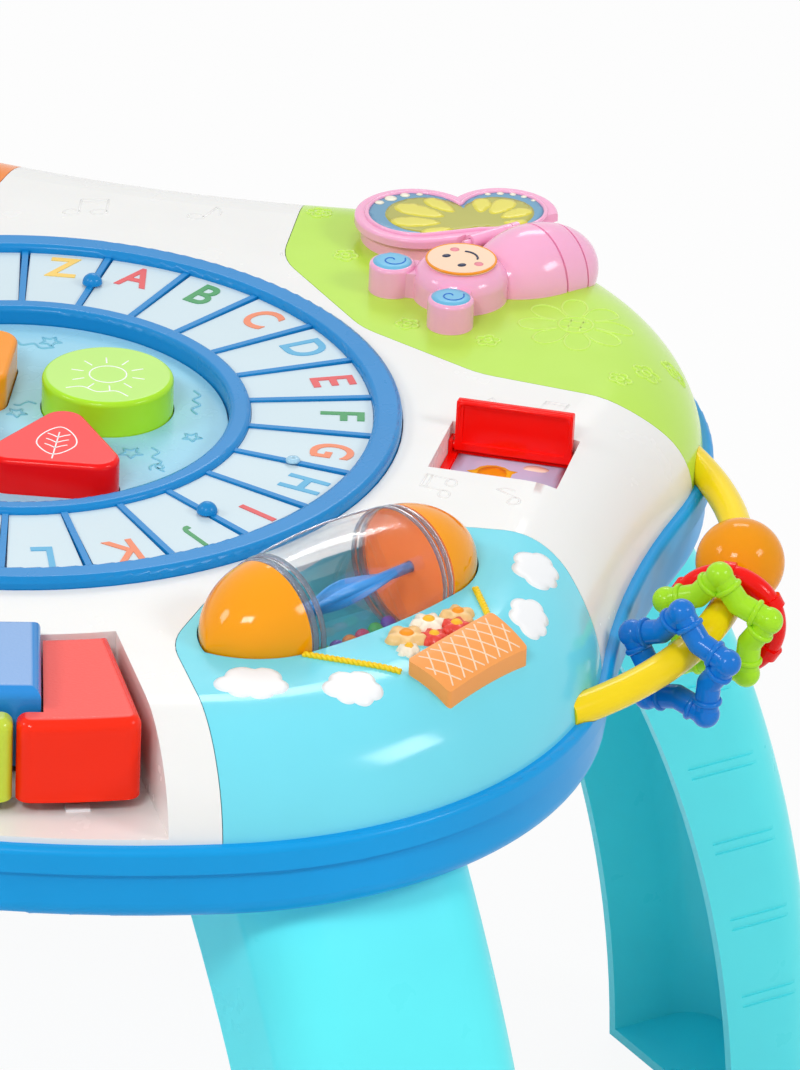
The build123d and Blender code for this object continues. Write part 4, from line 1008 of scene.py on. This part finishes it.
for (x, y, r), rows in zip(lobes, DOT_ROWS):
    away = math.atan2(y - root[1], x - root[0])
    for turn, size in rows:
        far = r - INSET - 0.7 - size
        dots.append(bug(ring_of(*polar(x, y, far, away + turn), size, 20)))
wing_print("wing_dots", dots, PRINT_LIFT, rise=0.2, edge=0.4, step=0.8)


# Collars where the star beads' tubes meet their knobs, and the rim of the flip door

BAR_X = 97.9
BAR_ARC_R = 158.3
STAR_TIP_R = 19.5
STAR_CORNER_R = 12.6
STAR_TUBE_R = 4.2
STAR_KNOB_R = 4.8
COLLAR_FROM_TIP = 5.4
COLLAR = [(u, STAR_TUBE_R + rise) for u, rise in
          ((-1.1, -0.6), (-0.9, 0.5), (-0.4, 0.9), (0.4, 0.9), (0.9, 0.5), (1.1, -0.6))]
for name, degrees, slot in (("green_star_bead", -6.6, "lime"), ("blue_star_bead", -18.0, "blue")):
    t = math.radians(degrees)
    out = Vector((math.cos(t), math.sin(t), 0))
    middle = at(*polar(BAR_X, 0, BAR_ARC_R, t), 0)
    middle.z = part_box(name)[1][2] - (STAR_TIP_R + STAR_KNOB_R) * MM
    verts, faces = [], []
    for k in range(5):
        a = math.radians(90 + 72 * k)
        tip = middle + (out * math.cos(a) + UP * math.sin(a)) * STAR_TIP_R * MM
        for side in (-1, 1):
            b = a + side * math.radians(36)
            way = middle + (out * math.cos(b) + UP * math.sin(b)) * STAR_CORNER_R * MM - tip
            turned_mesh(COLLAR, tip + way.normalized() * COLLAR_FROM_TIP * MM, way, 40, verts, faces)
    add(name + "_collars", verts, faces, slot, name)

RIM_R, RIM_INSET = 0.8 * MM, 0.9 * MM
# One corner of the rim: how far in from the door's side and how far below its top edge
RIM_CORNER = ((0, 13), (0, 2), (0.6, 0.6), (2, 0))
door_top = [v.co for v in nodes["flip_door"].data.vertices if v.co.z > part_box("flip_door")[1][2] - 3 * MM]
left, right = min(p.x for p in door_top) + RIM_INSET, max(p.x for p in door_top) - RIM_INSET
door_y, top = min(p.y for p in door_top), max(p.z for p in door_top) - RIM_INSET
rim = []
for edge, side in ((left, 1), (right, -1)):
    rim += [Vector((edge + side * u * MM, top - v * MM, 0)) for u, v in RIM_CORNER[::side]]
# The rib is made lying flat and stood up, so that it doesn't twist at the corners.
verts, faces = [], []
tube_mesh(rim, RIM_R, False, 10, verts, faces)
add("door_rim", [(v.x, door_y - v.z, v.y) for v in verts], faces, "red", "flip_door")


# Raised flowers on the green panel

FLOWERS = ((100, 176, 4.6, 0.2), (114.6, 108.5, 4.2, 0.9), (145, 104, 4.4, 0.4), (80, 157, 4.4, 0.0),
           (203, 103, 5.0, 0.5), (196, 90, 4.2, 0.1), (209, 122, 4.6, 1.0), (182, 184, 5.0, 0.6),
           (205, 152, 4.8, 0.2), (62, 190, 4.8, 0.8), (92, 198, 4.6, 0.3), (158, 205, 4.6, 0.9))
FLOWER_SINK, DAISY_SINK, CROSS_SINK = 0.15, 0.25, 0.3
DAISY = (172.0, 126.0)
DAISY_PETALS, DAISY_TURN = 8, 0.25
DAISY_R, PETAL_R = 6.2, 7.2
PETAL = smooth_line([(0, -2.6), (6, -4.6), (11.5, -3.4), (13.2, 0), (11.5, 3.4), (6, 4.6), (0, 2.6)], 5)
CROSS = (-5, -2, 1, 4)
green_lines = []
for x, y, r, turn in FLOWERS:
    if fits(green, ring_of(x, y, r + 1, 16)):
        green_lines.append(draw(green, flower_outline(x, y, r, 5, turn, 0.36, 40), FLOWER_SINK, True))
        green_lines.append(draw(green, ring_of(x, y, r * 0.32, 14), FLOWER_SINK, True))
green_lines.append(draw(green, ring_of(*DAISY, DAISY_R, 32), DAISY_SINK, True))
for k in range(DAISY_PETALS):
    t = 2 * math.pi * k / DAISY_PETALS + DAISY_TURN
    petal = turn_about(PETAL, *polar(*DAISY, PETAL_R, t), math.degrees(t))
    green_lines.append(draw(green, petal, DAISY_SINK))
for off in (-2.2, 2.2):
    green_lines.append(draw(green, [(DAISY[0] + off, DAISY[1] + y) for y in CROSS], CROSS_SINK))
    green_lines.append(draw(green, [(DAISY[0] + x, DAISY[1] + off) for x in CROSS], CROSS_SINK))
# The raised lines take a paler green: painted highlight
tubes("green_emboss", green_lines, "emboss_green_painted_highlight", "table", radius=0.6)


# Raised music notes on the white shell

# Each note's place, turn in degrees, whether it is a pair, and scale
NOTES = ((158, -18, 80, True, 1.0), (182, -16, 60, False, 1.0), (150, 52, -30, False, 1.0),
         (172, 54, -10, True, 0.9), (60, 152, 20, True, 1.1), (20, 172, -15, False, 1.1),
         (-24, 162, 10, True, 1.1), (36, 196, 0, False, 1.1), (-30, 196, -20, True, 1.0),
         (2, 196, 15, True, 0.9), (-158, 12, -80, True, 1.1), (-176, -20, -60, False, 1.1),
         (-178, 30, 80, False, 1.1), (-150, -30, 30, True, 1.0), (-55, -160, 20, False, 0.8))
NOTE_SINK, NOTE_ROOM = 0.3, 1.0
STEM = 2.4


def note(double):
    """Lines of a plain music note: heads, stems, and beams or a tail."""
    lines = []
    turns = [2 * math.pi * j / 18 for j in range(18)]
    for hx, hy in [(0, 0), (9, 1.2)] if double else [(0, 0)]:
        head = [(hx + 2.6 * math.cos(a) - 0.5 * math.sin(a), hy + 1.8 * math.sin(a) + 0.7 * math.cos(a))
                for a in turns]
        lines.append(head + head[:1])
        lines.append([(hx + STEM, hy + 0.6), (hx + STEM, hy + 5), (hx + STEM, hy + 10)])
    if double:
        lines.append([(STEM, 10), (7, 10.6), (9 + STEM, 11.2)])
        lines.append([(STEM, 8), (7, 8.6), (9 + STEM, 9.2)])
    else:
        lines.append(smooth_line([(STEM, 10), (5, 8.4), (6, 5.4)], 4))
    return lines


notes = []
for x, y, turn, double, scale in NOTES:
    for line in note(double):
        notes += draw_runs(shell, turn_about(line, x, y, turn, scale), DECK, NOTE_SINK, NOTE_ROOM, 3)
tubes("shell_notes", notes, "shell_white", "table", radius=0.6)


# Stage, light and camera

FLOOR_HALF = 9
FLOOR_GREY, FLOOR_ROUGH, FLOOR_GLOW = (0.86, 0.86, 0.86, 1), 0.8, 0.92
WORLD_DIFFUSE, WORLD_SEEN = 0.5, 1.0


def seen_or_mirrored(tree):
    """Output that is 1 for rays from the camera, through clear pieces and off gloss."""
    path = tree.nodes.new("ShaderNodeLightPath")
    out = path.outputs["Is Camera Ray"]
    for ray in ("Is Transmission Ray", "Is Glossy Ray"):
        node = tree.nodes.new("ShaderNodeMath")
        node.operation = "MAXIMUM"
        link(tree, out, node.inputs[0])
        link(tree, path.outputs[ray], node.inputs[1])
        out = node.outputs[0]
    return out


stage_white = bpy.data.materials.new("stage_white")
stage_white.use_nodes = True
tree = stage_white.node_tree
ground = tree.nodes["Principled BSDF"]
set_inputs(ground, {"Base Color": FLOOR_GREY, "Roughness": FLOOR_ROUGH})
glow = tree.nodes.new("ShaderNodeEmission")
glow.inputs["Strength"].default_value = 1.0
part = tree.nodes.new("ShaderNodeMath")
part.operation = "MULTIPLY"
part.inputs[1].default_value = FLOOR_GLOW
link(tree, seen_or_mirrored(tree), part.inputs[0])
blend = tree.nodes.new("ShaderNodeMixShader")
link(tree, part.outputs[0], blend.inputs["Fac"])
link(tree, ground.outputs["BSDF"], blend.inputs[1])
link(tree, glow.outputs["Emission"], blend.inputs[2])
link(tree, blend.outputs["Shader"], tree.nodes["Material Output"].inputs["Surface"])
floor_mesh = bpy.data.meshes.new("floor")
floor_mesh.from_pydata([(x * FLOOR_HALF, y * FLOOR_HALF, 0) for x, y in ((-1, -1), (1, -1), (1, 1), (-1, 1))], [],
                       [[0, 1, 2, 3]])
floor_mesh.materials.append(stage_white)
floor = bpy.data.objects.new("floor", floor_mesh)
scene.collection.objects.link(floor)

world = bpy.data.worlds.new("studio")
scene.world = world
world.use_nodes = True
tree = world.node_tree
background = tree.nodes["Background"]
background.inputs["Color"].default_value = WHITE
strength = remap(tree, seen_or_mirrored(tree), WORLD_DIFFUSE, WORLD_SEEN, 0, 1)
link(tree, strength, background.inputs["Strength"])


def softbox(name, place, target, width, height, power):
    """Rectangular lamp aimed at a point, in metres and watts."""
    light = bpy.data.lights.new(name, "AREA")
    light.shape = "RECTANGLE"
    light.size = width
    light.size_y = height
    light.energy = power
    obj = bpy.data.objects.new(name, light)
    obj.location = place
    obj.rotation_euler = (Vector(target) - Vector(place)).to_track_quat("-Z", "Y").to_euler()
    scene.collection.objects.link(obj)


softbox("key_box", (-0.16, -1.9, 2.1), (0.05, 0, 0.3), 0.7, 0.38, 20)
softbox("side_box", (2.0, -0.3, 1.7), (0.05, 0, 0.3), 0.7, 0.5, 13)
softbox("left_box", (-1.8, -0.8, 1.9), (0, 0, 0.3), 0.7, 0.5, 11)
softbox("back_box", (-0.2, 2.0, 2.0), (0, 0, 0.3), 1.0, 0.5, 10)

SENSOR = 36.0
FOCAL_PIXELS, PHOTO_TALL_PIXELS = 9000, 1070
AZIMUTH, ELEVATION, ROLL = math.radians(12.6), math.radians(27.116), math.radians(2.216)
DISTANCE = 3.0471
AIMED_AT = at(151.217, -54.343, 354.2)
camera = bpy.data.cameras.new("camera")
camera.sensor_width = SENSOR
camera.lens = SENSOR * FOCAL_PIXELS / PHOTO_TALL_PIXELS
camera.clip_start = 0.1
camera.clip_end = 60.0
camera_obj = bpy.data.objects.new("camera", camera)
back = Vector((math.sin(AZIMUTH) * math.cos(ELEVATION), -math.cos(AZIMUTH) * math.cos(ELEVATION),
               math.sin(ELEVATION)))
right = Vector((math.cos(AZIMUTH), math.sin(AZIMUTH), 0))
up = back.cross(right)
right, up = (right * math.cos(ROLL) + up * math.sin(ROLL)), (up * math.cos(ROLL) - right * math.sin(ROLL))
turned = Matrix((right, up, back)).transposed().to_4x4()
turned.translation = AIMED_AT + back * DISTANCE
camera_obj.matrix_world = turned
scene.collection.objects.link(camera_obj)
scene.camera = camera_obj
scene.view_settings.view_transform = "Standard"
